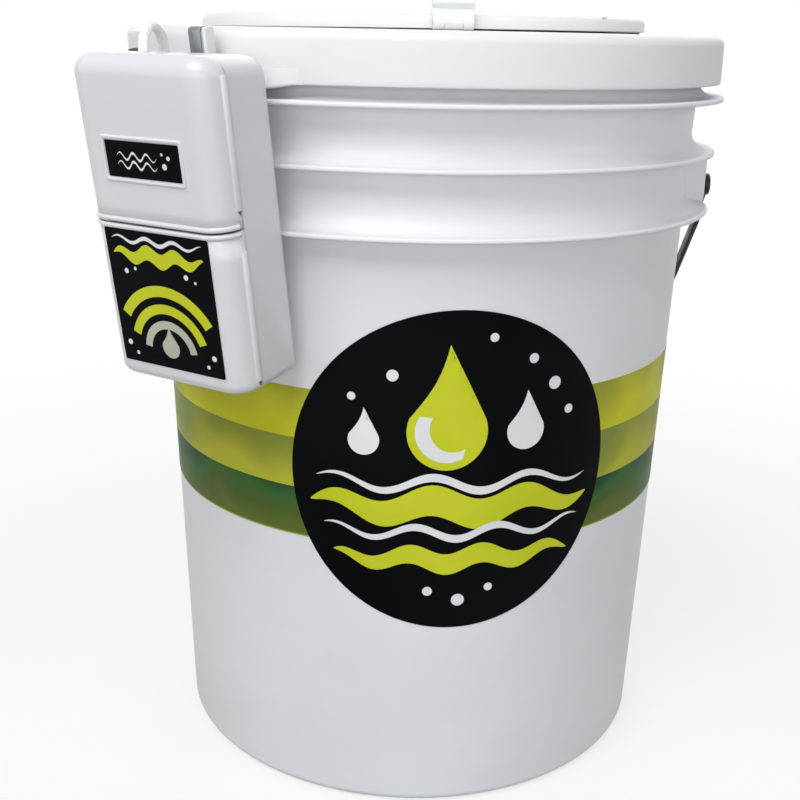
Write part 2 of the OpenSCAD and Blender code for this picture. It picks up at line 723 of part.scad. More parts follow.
// The latch stands in front of the hatch, and its nose reaches over the hatch's edge
module latch() {
    face_y = -hatch_r - 0.6;
    low_z = latch_z + latch_barrel_r + 0.2;
    nose_z = hatch_top_z + 0.25;
    fold_z = hatch_top_z + 2;
    tip_z = latch_z + latch_h;
    lip_r = 1.7;
    lug_w = 8.6;
    foot_w = latch_w - latch_taper;
    color(body_white) at_hatch() difference() {
        intersection() {
            union() {
                rod_x(-foot_w / 2, foot_w / 2, latch_y, latch_z, latch_barrel_r);
                box(-foot_w / 2, foot_w / 2, latch_y - 1.2, face_y, latch_z, low_z + 0.2);
                rotate([90, 0, 90]) linear_extrude(latch_w, center = true) polygon(concat(
                    [[face_y, low_z], [face_y, nose_z], [face_y + 0.6 + latch_nose, nose_z],
                     [face_y + 0.6 + latch_nose, nose_z + 0.4], [face_y, fold_z]],
                    arc(face_y - latch_t - 0.2, tip_z - lip_r, lip_r, 0, 215, 10),
                    [[face_y - latch_t, fold_z], [face_y - latch_t, low_z]]
                ));
            }
            rotate([90, 0, 0]) linear_extrude(2 * hatch_r) polygon([
                [-foot_w / 2, latch_z - 5], [foot_w / 2, latch_z - 5],
                [latch_w / 2, tip_z + 1], [-latch_w / 2, tip_z + 1]
            ]);
        }
        box(-lug_w / 2, lug_w / 2, latch_y - 5, face_y + 1, latch_z - 5, low_z);
        rod_x(-latch_w, latch_w, latch_y, latch_z, latch_pin_r + pin_gap);
    }
}

// Solid block of the case, grown outwards on every side but the back
module case_solid(grow = 0) {
    w = case_w / 2 + grow;
    slant = norm([1, top_fall]);
    top_front = case_h + grow * (slant + top_fall);
    top_back = case_h + grow * slant - top_fall * case_d;
    back = max(back_round + grow, 1);
    front = front_round + grow;
    top = top_round + grow;
    low = low_round + grow;
    intersection() {
        translate([0, 0, -grow]) linear_extrude(top_front + grow)
            rounded(rect(-w, w, -grow, case_d), [front, front, back, back]);
        rotate([90, 0, 90]) linear_extrude(2 * w, center = true) rounded(
            [[-grow, -grow], [case_d, -grow], [case_d, top_back], [-grow, top_front]],
            [low, low, back, top]
        );
        translate([0, case_d, 0]) rotate([90, 0, 0]) linear_extrude(2 * case_d)
            rounded(rect(-w, w, -grow, 2 * case_h), [low, low, low, low]);
        translate([0, 0, case_h + grow * slant]) rotate([90 - atan(top_fall), 0, 0])
            linear_extrude(4 * case_d, center = true)
                rounded(rect(-w, w, -2 * case_h, 0), [low, low, top, top]);
    }
}
// Hollow of the case: the back wall keeps its thickness too
module case_hollow() {
    intersection() {
        case_solid(-case_t);
        box(-case_w, case_w, 0, case_d - case_t, 0, case_h);
    }
}
module case_wall() {
    difference() {
        case_solid();
        case_hollow();
    }
}
module seam_bead(z0) {
    intersection() {
        difference() {
            case_solid(bead_t);
            case_solid(-case_t);
        }
        box(-case_w, case_w, -2, cover_d, z0, z0 + bead_w);
    }
}
module side_ridges(z0, z1) {
    for (side = [-1, 1]) {
        x = side * (case_w / 2 - 0.5 + bead_t / 2);
        translate([x, cover_d - 0.8, z0])
            linear_extrude(z1 - z0) square([bead_t + 1, 1.6], center = true);
    }
}
screw_spots = [[-31, 8], [31, 8], [-31, 44], [31, 44]];
divider_z = 64.6;
module rear_case() {
    color(pump_white) at_pump() difference() {
        union() {
            intersection() {
                case_wall();
                box(-case_w, case_w, cover_d, case_d + 1, -1, case_h + 1);
            }
            intersection() {
                case_solid();
                box(-case_w, case_w, cover_d + 1, case_d, divider_z, divider_z + 1.8);
            }
            for (s = screw_spots) rod_y(s[0], cover_d, case_d - 1, s[1], 3);
        }
        for (s = screw_spots) {
            rod_y(s[0], cover_d - 1, case_d + 1, s[1], 1.6);
            rod_y(s[0], case_d - 3, case_d + 1, s[1], 2.8);
        }
        for (z = rivet_z) rod_y(strip_x, case_d - case_t - 1, case_d + 1, z, 1.5);
        rod_z(outlet_x, outlet_y, top_at(outlet_y) - 5, case_h, line_r + 0.2);
        rod_z(button_x, button_y, top_at(button_y) - 5, case_h, button_r + 0.3);
        box(hose_x - 8, hose_x + 4, hose_y - 4, case_d - case_t - 0.2, divider_z - 1, divider_z + 3);
    }
}
module motor_cover() {
    top = seam_z - seam_gap / 2;
    color(pump_white) at_pump() difference() {
        union() {
            intersection() {
                case_wall();
                box(-case_w, case_w, -1, cover_d - 0.1, -1, top);
            }
            seam_bead(top - bead_w);
            side_ridges(5, 62);
            for (s = screw_spots) rod_y(s[0], 1, cover_d - 0.1, s[1], 3);
        }
        for (s = screw_spots) rod_y(s[0], 4, cover_d, s[1], 1.2);
        for (side = [-1, 1])
            translate([side * case_w / 2, cover_d - 0.8, 3.8]) cube([2.4, 2, 2.4], center = true);
    }
}
module battery_cover() {
    low = seam_z + seam_gap / 2;
    color(pump_white) at_pump() difference() {
        union() {
            intersection() {
                case_wall();
                box(-case_w, case_w, -1, cover_d - 0.1, low, case_h + 1);
            }
            seam_bead(low);
            side_ridges(seam_z + 8, case_h - top_round - 1);
            label_frame();
        }
        for (side = [-1, 1])
            translate([side * case_w / 2, cover_d - 0.8, 79.8]) cube([2.4, 2, 2.4], center = true);
    }
}
label_w = 59.4;
label_z0 = 8.3;
label_h = 61.8;
mark_w = 41.4;
mark_z = 93.1;
mark_h = 15.3;
mark_rim = 2;
module label_frame() {
    half = mark_w / 2;
    rotate([90, 0, 0]) translate([0, 0, -1]) linear_extrude(1.8) difference() {
        rounded(rect(-half - mark_rim, half + mark_rim, mark_z - mark_rim, mark_z + mark_h + mark_rim),
            [1.2, 1.2, 1.2, 1.2]);
        polygon(rect(-half - 0.4, half + 0.4, mark_z - 0.4, mark_z + mark_h + 0.4));
    }
}
module pump_label() {
    color(soft_black) at_pump() box(-label_w / 2, label_w / 2, -film_t, 0, label_z0, label_z0 + label_h);
}
module small_label() {
    color(soft_black) at_pump() box(-mark_w / 2, mark_w / 2, -film_t, 0, mark_z, mark_z + mark_h);
}
module case_screws() {
    color(steel) at_pump() for (s = screw_spots) {
        rod_y(s[0], cover_d - 7, case_d - 2.9, s[1], 1.15);
        difference() {
            rod_y(s[0], case_d - 3, case_d - 1.2, s[1], 2.6);
            box(s[0] - 2, s[0] + 2, case_d - 1.9, case_d, s[1] - 0.4, s[1] + 0.4);
        }
    }
}

// Hanger: the strip is riveted to the back and hooks over the lid's lug
hook_in = case_d + strip_t + lug_t + 0.9;
rivet_z = [90, 104];
module hanger_strip() {
    color(steel) at_pump() difference() {
        translate([strip_x - strip_w / 2, 0, 0]) {
            box(0, strip_w, case_d, case_d + strip_t, 84, hook_z);
            box(0, strip_w, case_d, hook_in + strip_t, hook_z - strip_t, hook_z);
            box(0, strip_w, hook_in, hook_in + strip_t, 141, hook_z);
        }
        for (z = rivet_z) rod_y(strip_x, case_d - 1, case_d + 2, z, 1.5);
    }
}
module hanger_rivets() {
    color(steel) at_pump() for (z = rivet_z) {
        rod_y(strip_x, case_d - case_t - 0.9, case_d + strip_t + 0.1, z, 1.45);
        rod_y(strip_x, case_d + strip_t, case_d + strip_t + 0.8, z, 2.6);
    }
}

// Air line: a barb under the case's top, a loop over its back edge, down on the port
hose_x = 0;
hose_y = 33;
barb_z = cell_z + cell_len + 2.3;
bend_z = top_at(outlet_y) - 0.5;
port_block_r = 4;
module outlet_fitting() {
    color(soft_black) at_pump() difference() {
        union() {
            rod_z(outlet_x, outlet_y, barb_z, bend_z, spigot_r);
            box(outlet_x - 4, hose_x + 4, outlet_y - 3, case_d - case_t - 0.2, barb_z - 1.6, barb_z + eps);
        }
        rod_z(outlet_x, outlet_y, barb_z - 0.6, bend_z + 1, 0.9);
    }
}
// The loop stands in the upright plane through the outlet and the port
loop_run = [port_x - outlet_x, port_y - outlet_y];
loop_r = norm(loop_run) / 2;
module airline_loop() {
    color(foam_white) at_pump() translate([outlet_x, outlet_y, 0])
        rotate([0, 0, atan2(loop_run[1], loop_run[0]) - 90]) difference() {
            loop_body(line_r, 0);
            loop_body(line_bore, 1);
        }
}
module loop_body(r, extra) {
    rod_z(0, 0, barb_z - extra, bend_z, r);
    rod_z(0, 2 * loop_r, port_z - extra, bend_z, r);
    translate([0, loop_r, bend_z]) rotate([90, 0, 90])
        rotate_extrude(angle = 180) translate([loop_r, 0]) circle(r);
}
hose_route = [
    [-12, 20, 54], [-16, 20, 54], [-19.5, 21.5, 54.6], [-22, 24.5, 56], [-22.5, 28, 58],
    [-20, 31.5, 60], [-15, 33, 61.8], [-9, 33, 62.9], [-4, 33, 64.8], [-1, 33, 68.5],
    [hose_x, hose_y, 73], [hose_x, hose_y, 82], [hose_x, hose_y, 92], [hose_x, hose_y, 102],
    [hose_x, hose_y, 112], [hose_x, hose_y, 122], [hose_x, hose_y, barb_z - 1.6]
];
module inner_hose() {
    color(foam_white) at_pump() swept_tube(hose_route, 1.9, 8);
}

// Button and switch
module power_button() {
    top = top_at(button_y);
    color(soft_black) at_pump() translate([button_x, button_y, top]) rotate_extrude() polygon(concat(
        [[0, -2.6], [button_r - 0.6, -2.6], [button_r - 0.6, -2], [button_r, -2]],
        arc(button_r - 1.6, button_rise - 1.6, 1.6, 0, 90, 5),
        [[0, button_rise]]
    ));
}
module push_switch() {
    low = cell_z + cell_len + 0.5;
    top = top_at(button_y) - 2.6 - button_travel - 0.2;
    color([0.75, 0.75, 0.72]) at_pump() {
        box(button_x - 3, button_x + 3, button_y - 3, button_y + 3, low, top);
        box(button_x - 3, button_x + 3, button_y, case_d - case_t, low, low + 1);
    }
}

// Batteries and their contacts
cell_x = [-cell_r - 0.5, cell_r + 0.5];
spring_foot = 11.6;
cell_y = case_d / 2;
module battery(x, turned) {
    at_pump() translate([x, cell_y, cell_z + cell_len / 2]) rotate([turned ? 180 : 0, 0, 0]) {
        color([0.12, 0.2, 0.42]) rod_z(0, 0, -cell_len / 2 + 0.6, cell_len / 2 - 2, cell_r);
        color(steel) rod_z(0, 0, -cell_len / 2, -cell_len / 2 + 0.6 + eps, cell_r - 2);
        color(steel) rod_z(0, 0, cell_len / 2 - 2 - eps, cell_len / 2, 5);
    }
}
module battery_left() {
    battery(cell_x[0], true);
}
module battery_right() {
    battery(cell_x[1], false);
}
module battery_springs() {
    color(steel) at_pump() {
        for (x = cell_x)
            box(x - spring_foot, x + spring_foot, cell_y - 6, cell_y + 6, divider_z + 1.8, divider_z + 2.3);
        for (x = cell_x) translate([x, cell_y, 0]) for (k = [0:2])
            translate([0, 0, divider_z + 2.2 + 0.95 * k]) cylinder(r = 6 - 0.8 * k, h = 1);
    }
}
module battery_plates() {
    z = cell_z + cell_len;
    color(steel) at_pump() box(cell_x[0] - 6, cell_x[1] + 6, cell_y - 5, cell_y + 2, z, z + 0.4);
}

// Motor, cam, yoke, diaphragm and pump head
motor_x = -34;
motor_y = 20;
motor_z = 24;
cam_x = motor_x + motor_len + 4;
module motor_can() {
    x1 = motor_x + motor_len;
    color(steel) at_pump() difference() {
        union() {
            rod_x(motor_x, x1, motor_y, motor_z, motor_r);
            rod_x(x1 - 1, x1 + 1.5, motor_y, motor_z, 3);
        }
        rod_x(motor_x + 1, x1 - 1, motor_y, motor_z, motor_r - 1);
        rod_x(motor_x + 0.3, x1 + 2, motor_y, motor_z, shaft_r + pin_gap);
    }
}
module motor_magnets() {
    color([0.2, 0.2, 0.22]) at_pump() difference() {
        rod_x(motor_x + 4, motor_x + motor_len - 4, motor_y, motor_z, motor_r - 1.05);
        rod_x(motor_x, motor_x + motor_len, motor_y, motor_z, motor_r - 3);
        for (side = [-1, 1])
            translate([motor_x + motor_len / 2, motor_y + side * motor_r, motor_z])
                cube([motor_len, motor_r, 6], center = true);
    }
}
module motor_mount() {
    color(rubber_grey) at_pump() difference() {
        box(motor_x + 7, motor_x + motor_len - 3, motor_y - 9, motor_y + 9, case_t, motor_z - 3);
        rod_x(motor_x, motor_x + motor_len, motor_y, motor_z, motor_r);
    }
}
module motor_rotor() {
    color([0.7, 0.45, 0.25]) at_pump() {
        rod_x(motor_x + 0.6, cam_x + 6, motor_y, motor_z, shaft_r);
        rod_x(motor_x + 6, motor_x + motor_len - 6, motor_y, motor_z, motor_r - 3.6);
        rod_x(cam_x, cam_x + 5, motor_y, motor_z - cam_throw, cam_r);
    }
}
diaphragm_z = 43;
module cam_yoke() {
    gap = cam_r + cam_throw + 0.4;
    x0 = cam_x + 0.5;
    x1 = cam_x + 4.5;
    color(pump_white) at_pump() {
        difference() {
            box(x0, x1, motor_y - gap - 2.5, motor_y + gap + 2.5, motor_z - gap - 2.5, motor_z + gap + 2.5);
            box(x0 - 1, x1 + 1, motor_y - gap, motor_y + gap, motor_z - gap, motor_z + gap);
        }
        box(x0, x1, motor_y - 3, motor_y + 3, motor_z + gap + 2.4, diaphragm_z - 1);
        rod_z(cam_x + 2.5, motor_y, diaphragm_z - 2, diaphragm_z, 5);
    }
}
module diaphragm() {
    color(rubber_grey) at_pump() translate([cam_x + 2.5, motor_y, diaphragm_z]) rotate_extrude() polygon([
        [0, 0], [7, 0], [9, -1.6], [10.5, 0], [12.6, 0], [12.6, 3], [0, 3]
    ]);
}
// The head is fixed to the back wall; its outlet feeds the inner hose
module pump_head() {
    x = cam_x + 2.5;
    z0 = diaphragm_z + 3;
    color(pump_white) at_pump() difference() {
        union() {
            rod_z(x, motor_y, z0, z0 + 14, head_r);
            box(x - 8, x + 8, motor_y, case_d - case_t, z0 + 2, z0 + 12);
            rod_x(-12, x, motor_y, 54, 2.6);
        }
        rod_z(x, motor_y, z0 - 1, z0 + 11, head_r - 3);
        rod_x(-13, x, motor_y, 54, 1);
    }
}

bucket_shell();
foam_liner();
foam_base();
stripe_label();
round_label();
bail_strap();
bail_grip();
lid_shell();
rim_gasket();
lid_foam();
hinge_pin();
latch_pin();
airline_drop();
air_stone();
hatch_cover();
hatch_foam();
hatch_liner();
hatch_gasket();
latch();
rear_case();
motor_cover();
pump_label();
case_screws();
battery_cover();
small_label();
hanger_strip();
hanger_rivets();
outlet_fitting();
airline_loop();
power_button();
push_switch();
battery_left();
battery_right();
battery_springs();
battery_plates();
motor_can();
motor_magnets();
motor_mount();
motor_rotor();
cam_yoke();
diaphragm();
pump_head();
inner_hose();
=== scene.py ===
# Looks of an aerated bait bucket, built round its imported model.
# Lengths are millimetres in the model's frame, and MM turns them into metres.
# The cord's route, the floor and the lamps are in metres.
from math import acos, asin, atan, atan2, ceil, cos, pi, radians, sin, sqrt, tan

import bmesh
import bpy
from mathutils import Matrix, Vector

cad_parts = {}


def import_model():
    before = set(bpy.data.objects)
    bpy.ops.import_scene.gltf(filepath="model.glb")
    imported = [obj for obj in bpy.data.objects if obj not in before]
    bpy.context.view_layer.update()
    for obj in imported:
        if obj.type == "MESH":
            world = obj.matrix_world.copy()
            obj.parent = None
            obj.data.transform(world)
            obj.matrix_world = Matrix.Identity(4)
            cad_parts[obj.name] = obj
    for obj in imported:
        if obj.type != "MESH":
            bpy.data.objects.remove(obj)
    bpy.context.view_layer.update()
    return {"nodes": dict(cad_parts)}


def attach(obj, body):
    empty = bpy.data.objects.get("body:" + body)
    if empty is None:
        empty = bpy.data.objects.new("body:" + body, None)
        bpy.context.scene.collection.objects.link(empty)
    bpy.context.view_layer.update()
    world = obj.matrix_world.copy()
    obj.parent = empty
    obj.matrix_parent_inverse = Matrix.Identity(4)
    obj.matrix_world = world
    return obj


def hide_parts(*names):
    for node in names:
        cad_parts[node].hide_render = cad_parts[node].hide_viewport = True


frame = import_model()
MM = 0.001
MICRON = 0.000001

# Bucket: BUCKET_R is the wall's radius at its foot, and it grows by TAPER with each millimetre of height
BUCKET_R = 131
TAPER = 0.0316
BUCKET_H = 366
WALL = 2.3
RIM_OUT = 3.9
RIM_H = 6
CHINE_R = 5
FOOT_H = 5
FOOT_W = 7
FLOOR_T = 3
# Height of each rib and its reach past the wall, lowest first
RIBS = ((294.2, 12.1), (323.2, 12), (349.8, 13.3))
RIB_T = 2.4
RIB_BLEND = 9
EAR_OUT = 0.4
EAR_W = 16

# Printed films
STRIPE_Z = 146
STRIPE_H = 25.3
DISC_R = 80
DISC_Z = 183
DISC_TURN = radians(8.3)
GLUE_T = 0.1
FILM_T = 0.25
PRINT_T = 0.07

# Bail: its grip hangs HANG_DROP below the pivot, HANG_GAP off the wall
BAIL_Z = 304.5
STRAP_T = 2.6
STRAP_W = 7.4
STRAP_GAP = 0.8
STUD_R = 3.5
LEG_LEN = 90
HOOP_LEN = 199
GRIP_LEN = 110
GRIP_T = 13
GRIP_W = 18
HANG_DROP = 133.2
HANG_GAP = 5

# Lid
SKIRT_OUT = 6.6
SKIRT_T = 2.5
SKIRT_Z = 358.2
DECK_Z = 381
DECK_T = 3
SHOULDER = 5
OPENING_R = 104
COLLAR_T = 3
COLLAR_H = 23
PLUG_GAP = 1.6
PLUG_T = 2.5
GASKET_T = 2.6
# Bracket on the skirt, BRACKET_A0 to BRACKET_A1 degrees left of the front, after a fade over BRACKET_RUN
BRACKET_OUT = 4.7
BRACKET_Z = 356.2
BRACKET_H = 8.6
BRACKET_LEDGE = 2.4
BRACKET_A0 = 25.5
BRACKET_A1 = 50
BRACKET_RUN = 6.5

# Hatch and latch
HATCH_LAP = 10.5
HATCH_X = -1.3
HATCH_TURN = radians(6.4)
HATCH_H = 6.1
HATCH_GAP = 0.9
HATCH_T = 2.2
HINGE_PIN_R = 1.5
LATCH_PIN_R = 1
PIN_CLEAR = 0.05
LATCH_W = 18.6
LATCH_TAPER = 1
LATCH_T = 2.2
LATCH_H = 10.4
LATCH_NOSE = 0.9

# Air pump: it hangs PUMP_AZ left of the front and leans on the lowest rib
PUMP_AZ = radians(32)
PUMP_CLEAR = 4.7
PUMP_SIDE = -11.4
PUMP_SEAT = 61.3
PUMP_GAP = 0.3
CASE_W = 78
CASE_D = 39
CASE_H = 143.5
TOP_FALL = 0.135
CASE_T = 2
FRONT_R = 11.5
BACK_R = 5
TOP_R = 9
LOW_R = 5
SEAM_Z = 72.8
SEAM_GAP = 0.9
COVER_D = 13
BEAD_W = 2.2
BEAD_T = 0.75
LABEL_W = 59.4
LABEL_Z = 8.3
LABEL_H = 61.8
MARK_W = 41.4
MARK_Z = 93.1
MARK_H = 15.3
MARK_RIM = 2

# Hanger, air line and button, in the pump's frame
STRIP_W = 6.4
STRIP_T = 0.9
STRIP_X = 0.4
HOOK_Z = 148.26
HOOK_GAP = 0.3
LUG_T = 3
LUG_W = 6
LINE_R = 2.4
LOOP_R = 2.25
LOOP_BORE = 1.6
SPIGOT_R = 1.55
BEND_Z = 138.6
PORT_Z = 135.1
OUTLET = (-15, 24)
PORT = (-22.5, CASE_D + 5)
BUTTON_AT = (-24.6, 30)
BUTTON_R = 4.4


def wall_r(z):
    return BUCKET_R + TAPER * z


def top_at(y):
    return CASE_H - TOP_FALL * y


RIM_R = wall_r(BUCKET_H) + RIM_OUT
RIB_LOW_R = wall_r(RIBS[0][0]) + RIBS[0][1]
RIB_TOP_R = wall_r(RIBS[2][0]) + RIBS[2][1]
EAR_R = RIB_LOW_R + EAR_OUT
SKIRT_R = RIM_R + SKIRT_OUT
BRACKET_R = SKIRT_R + BRACKET_OUT
HATCH_R = OPENING_R + HATCH_LAP
HATCH_Z = DECK_Z + HATCH_GAP
HATCH_TOP = HATCH_Z + HATCH_H
HINGE_BARREL = HINGE_PIN_R + 1.6
LATCH_BARREL = LATCH_PIN_R + 1.4
HINGE_Y, HINGE_Z = HATCH_R + 5, HATCH_Z + 3.6
LATCH_Y, LATCH_Z = -HATCH_R - 4.2, DECK_Z + 2.8
PUMP_LEAN = atan(
    (BRACKET_R + PUMP_CLEAR - RIB_LOW_R - PUMP_GAP) / (BRACKET_Z + BRACKET_H / 2 - RIBS[0][0])
)

# Frames of the sub-assemblies
HERE = Matrix.Identity(4)
AT_HATCH = Matrix.Translation((HATCH_X, 0, 0)) @ Matrix.Rotation(HATCH_TURN, 4, "Z")
# The closed hatch sits a little lower at its left
COVER_SINK, COVER_TILT = 0.15, radians(-0.28)
AT_COVER = (
    Matrix.Translation((0, 0, HATCH_Z - COVER_SINK))
    @ Matrix.Rotation(COVER_TILT, 4, "Y")
    @ Matrix.Translation((0, 0, -HATCH_Z))
    @ AT_HATCH
)
AT_PUMP = (
    Matrix.Rotation(-PUMP_AZ, 4, "Z")
    @ Matrix.Translation((PUMP_SIDE, -(RIB_LOW_R + PUMP_GAP), RIBS[0][0]))
    @ Matrix.Rotation(PUMP_LEAN, 4, "X")
    @ Matrix.Translation((0, -CASE_D, -PUMP_SEAT))
)
HANG = acos((wall_r(BAIL_Z - HANG_DROP) + GRIP_T / 2 + HANG_GAP) / HOOP_LEN)
AT_BAIL = Matrix.Translation((0, 0, BAIL_Z)) @ Matrix.Rotation(-HANG, 4, "X")


def add_object(name, data):
    made = bpy.data.objects.new(name, data)
    bpy.context.scene.collection.objects.link(made)
    return made


# Camera, fitted to the photograph
def make_camera():
    pitch, yaw, roll = 0.3064, -0.0145, 0.0203
    place = Vector((0, -639.07, 378.96))
    focal_px, image_px, sensor = 1155.23, 800, 36
    forward = Vector((sin(yaw) * cos(pitch), cos(yaw) * cos(pitch), -sin(pitch)))
    level = Vector((cos(yaw), -sin(yaw), 0))
    upright = level.cross(forward)
    right = cos(roll) * level + sin(roll) * upright
    up = cos(roll) * upright - sin(roll) * level
    data = bpy.data.cameras.new("camera")
    data.sensor_width = sensor
    data.lens = focal_px / image_px * sensor
    data.clip_start, data.clip_end = 0.02, 60
    camera = add_object("camera", data)
    matrix = Matrix((right, up, -forward)).transposed().to_4x4()
    matrix.translation = place * MM
    camera.matrix_world = matrix
    bpy.context.scene.camera = camera


make_camera()


# Materials
def srgb(red, green, blue):
    def linear(value):
        value /= 255
        return value / 12.92 if value <= 0.04045 else ((value + 0.055) / 1.055) ** 2.4

    return (linear(red), linear(green), linear(blue), 1)


def grey(value):
    return (value, value, value, 1)


def put(tree, kind, inputs=None, **settings):
    """A new shader node; an input's value is a number, a colour or another node's socket."""
    made = tree.nodes.new("ShaderNode" + kind)
    for key, value in settings.items():
        setattr(made, key, value)
    for key, value in (inputs or {}).items():
        if isinstance(value, bpy.types.NodeSocket):
            tree.links.new(value, made.inputs[key])
        else:
            made.inputs[key].default_value = value
    return made


def maths(tree, operation, *values):
    return put(tree, "Math", dict(enumerate(values)), operation=operation).outputs[0]


def noise(tree, place, scale, detail, roughness=0.5):
    inputs = {"Vector": place, "Scale": scale, "Detail": detail, "Roughness": roughness}
    return put(tree, "TexNoise", inputs).outputs["Fac"]


def remap(tree, value, low, high, to_low, to_high, **settings):
    inputs = {"Value": value, "From Min": low, "From Max": high, "To Min": to_low, "To Max": to_high}
    return put(tree, "MapRange", inputs, **settings).outputs["Result"]


def mix(tree, factor, first, second, blend="MIX"):
    """One colour from two."""
    made = put(tree, "Mix", {0: factor, 6: first, 7: second}, data_type="RGBA", blend_type=blend)
    return made.outputs[2]


def ramp(tree, factor, stops):
    made = put(tree, "ValToRGB", {0: factor})
    elements = made.color_ramp.elements
    while len(elements) < len(stops):
        elements.new(0.5)
    for element, (at, colour) in zip(elements, stops):
        element.position = at
        element.color = colour
    return made.outputs["Color"]


def patches(low, high, patch, fine, speck_scale):
    """Colour that varies between two in soft patches; fine is how far its specks darken it."""
    def colour(tree, place):
        made = ramp(tree, noise(tree, place, patch, 4, 0.55), [(0.32, srgb(*low)), (0.68, srgb(*high))])
        if fine:
            specks = ramp(tree, noise(tree, place, speck_scale, 2), [(0.35, grey(1 - fine)), (0.6, grey(1))])
            made = mix(tree, 1, made, specks, "MULTIPLY")
        return made

    return colour


def stripe_colour(tree, place):
    """Three bands, each shaded from a darker top to a lighter lower edge and cloudy round the bucket."""
    height = put(tree, "SeparateXYZ", {0: place}).outputs["Z"]
    up = remap(tree, height, STRIPE_Z * MM, (STRIPE_Z + 3 * STRIPE_H) * MM, 0, 3, clamp=False)
    cloud = maths(tree, "MULTIPLY_ADD", noise(tree, place, 12, 2), 3.4, -1.7)
    shade = maths(tree, "ADD", maths(tree, "FRACT", up), cloud)
    dark = ramp(tree, shade, [(0, srgb(98, 112, 52)), (0.3, srgb(80, 100, 46)), (0.65, srgb(58, 104, 54)),
                              (1, srgb(42, 76, 44))])
    middle = ramp(tree, shade, [(0, srgb(190, 192, 62)), (0.5, srgb(158, 162, 62)), (1, srgb(132, 148, 70))])
    light = ramp(tree, shade, [(0, srgb(212, 212, 54)), (0.5, srgb(190, 190, 58)), (1, srgb(152, 150, 64))])
    colour = mix(tree, maths(tree, "GREATER_THAN", up, 1), dark, middle)
    colour = mix(tree, maths(tree, "GREATER_THAN", up, 2), colour, light)
    return mix(tree, maths(tree, "LESS_THAN", up, 0.03), colour, srgb(150, 165, 60))


def material(name, low=None, high=None, rough=(0.35, 0.45), patch=30, grain=0, grain_scale=900, wave=0,
             wave_scale=45, fine=0, stretch=(1, 1, 1), paint=None, slot=None, **sockets):
    """A surface whose colour and roughness vary in soft patches, with grain and waves in relief.
    Scales are features per metre, grain and wave are heights in microns, paint is a colour of its own."""
    made = bpy.data.materials.new(name)
    made.use_nodes = True
    tree = made.node_tree
    shader = tree.nodes["Principled BSDF"]
    place = put(tree, "TexCoord").outputs["Object"]
    place = put(tree, "Mapping", {"Vector": place, "Scale": stretch}).outputs["Vector"]
    paint = paint or patches(low, high, patch, fine, grain_scale * 1.7)
    tree.links.new(paint(tree, place), shader.inputs["Base Color"])
    rubbed = remap(tree, noise(tree, place, patch * 2.3, 5), 0.3, 0.7, *rough)
    tree.links.new(rubbed, shader.inputs["Roughness"])
    relief = [(height, scale) for height, scale in ((wave, wave_scale), (grain, grain_scale)) if height]
    normal = None
    for height, scale in relief:
        inputs = {"Height": noise(tree, place, scale, 3), "Distance": height * MICRON, "Strength": 1}
        if normal:
            inputs["Normal"] = normal
        normal = put(tree, "Bump", inputs).outputs["Normal"]
    if normal:
        tree.links.new(normal, shader.inputs["Normal"])
    for socket, value in sockets.items():
        shader.inputs[socket.replace("_", " ")].default_value = value
    return made


def ink(name, low, high, patch=20):
    return material(name, low, high, rough=(0.36, 0.46), patch=patch, grain=6, grain_scale=1500,
                    slot="label_film", Specular_IOR_Level=0.12)


PAIL = material("pail_plastic", (229, 230, 232), (235, 236, 238), rough=(0.4, 0.5), patch=14, grain=12,
                grain_scale=1500, wave=100, wave_scale=22, slot="pail_white", IOR=1.5, Specular_IOR_Level=0.4)
LID = material("lid_plastic", (229, 230, 231), (234, 235, 235), rough=(0.4, 0.5), patch=18, grain=14,
               grain_scale=1400, wave=60, wave_scale=30, slot="lid_white", IOR=1.5, Specular_IOR_Level=0.4)
PUMP = material("pump_plastic", (218, 219, 221), (223, 224, 226), rough=(0.24, 0.27), patch=9, grain=4,
                grain_scale=1800, slot="pump_white", IOR=1.5, Specular_IOR_Level=0.5)
# Painted shade: the dark grey of the small prisms that stand in for the shadow in the pump's notches
SHADE = material("painted_notch_shade", (92, 95, 98), (110, 113, 116), rough=(0.5, 0.6), patch=200, slot="pump_white")
FOAM = material("closed_foam", (226, 226, 216), (240, 240, 232), rough=(0.8, 0.95), patch=40, grain=400,
                grain_scale=420, fine=0.12)
STRIPES = material("stripe_print", rough=(0.36, 0.46), grain=10, grain_scale=1200, paint=stripe_colour,
                   slot="stripe_film", Specular_IOR_Level=0.05)
LABEL = material("label_black", (3, 4, 5), (9, 12, 14), rough=(0.34, 0.44), patch=9, grain=8,
                 grain_scale=1100, slot="label_film", Specular_IOR_Level=0.03)
PRINT_LIME = ink("print_lime", (193, 201, 40), (206, 212, 50))
PRINT_WHITE = ink("print_white", (222, 224, 226), (234, 235, 236))
PRINT_SILVER = ink("print_silver", (176, 178, 158), (198, 199, 184), patch=30)
BLACK = material("black_plastic", (18, 18, 19), (28, 28, 30), rough=(0.42, 0.58), patch=40, grain=40,
                 grain_scale=1700, fine=0.15, slot="black_plastic", Specular_IOR_Level=0.3)
RUBBER = material("black_rubber", (16, 16, 17), (30, 30, 31), rough=(0.6, 0.8), patch=70, grain=30,
                  grain_scale=2200, slot="rubber_black")
GREY_RUBBER = material("grey_rubber", (92, 95, 98), (112, 115, 118), rough=(0.6, 0.75), patch=70, grain=30,
                       grain_scale=2200)
HOSE = material("clear_hose", (247, 248, 247), (251, 251, 250), rough=(0.2, 0.28), patch=60, wave=40,
                wave_scale=180, slot="hose", IOR=1.45, Transmission_Weight=0.04, Subsurface_Weight=0.1,
                Subsurface_Radius=(0.002, 0.002, 0.002), Subsurface_Scale=1)
STEEL = material("spring_steel", (122, 125, 128), (150, 153, 156), rough=(0.26, 0.42), patch=50, grain=10,
                 stretch=(6, 6, 0.6), slot="spring_steel", Metallic=1)
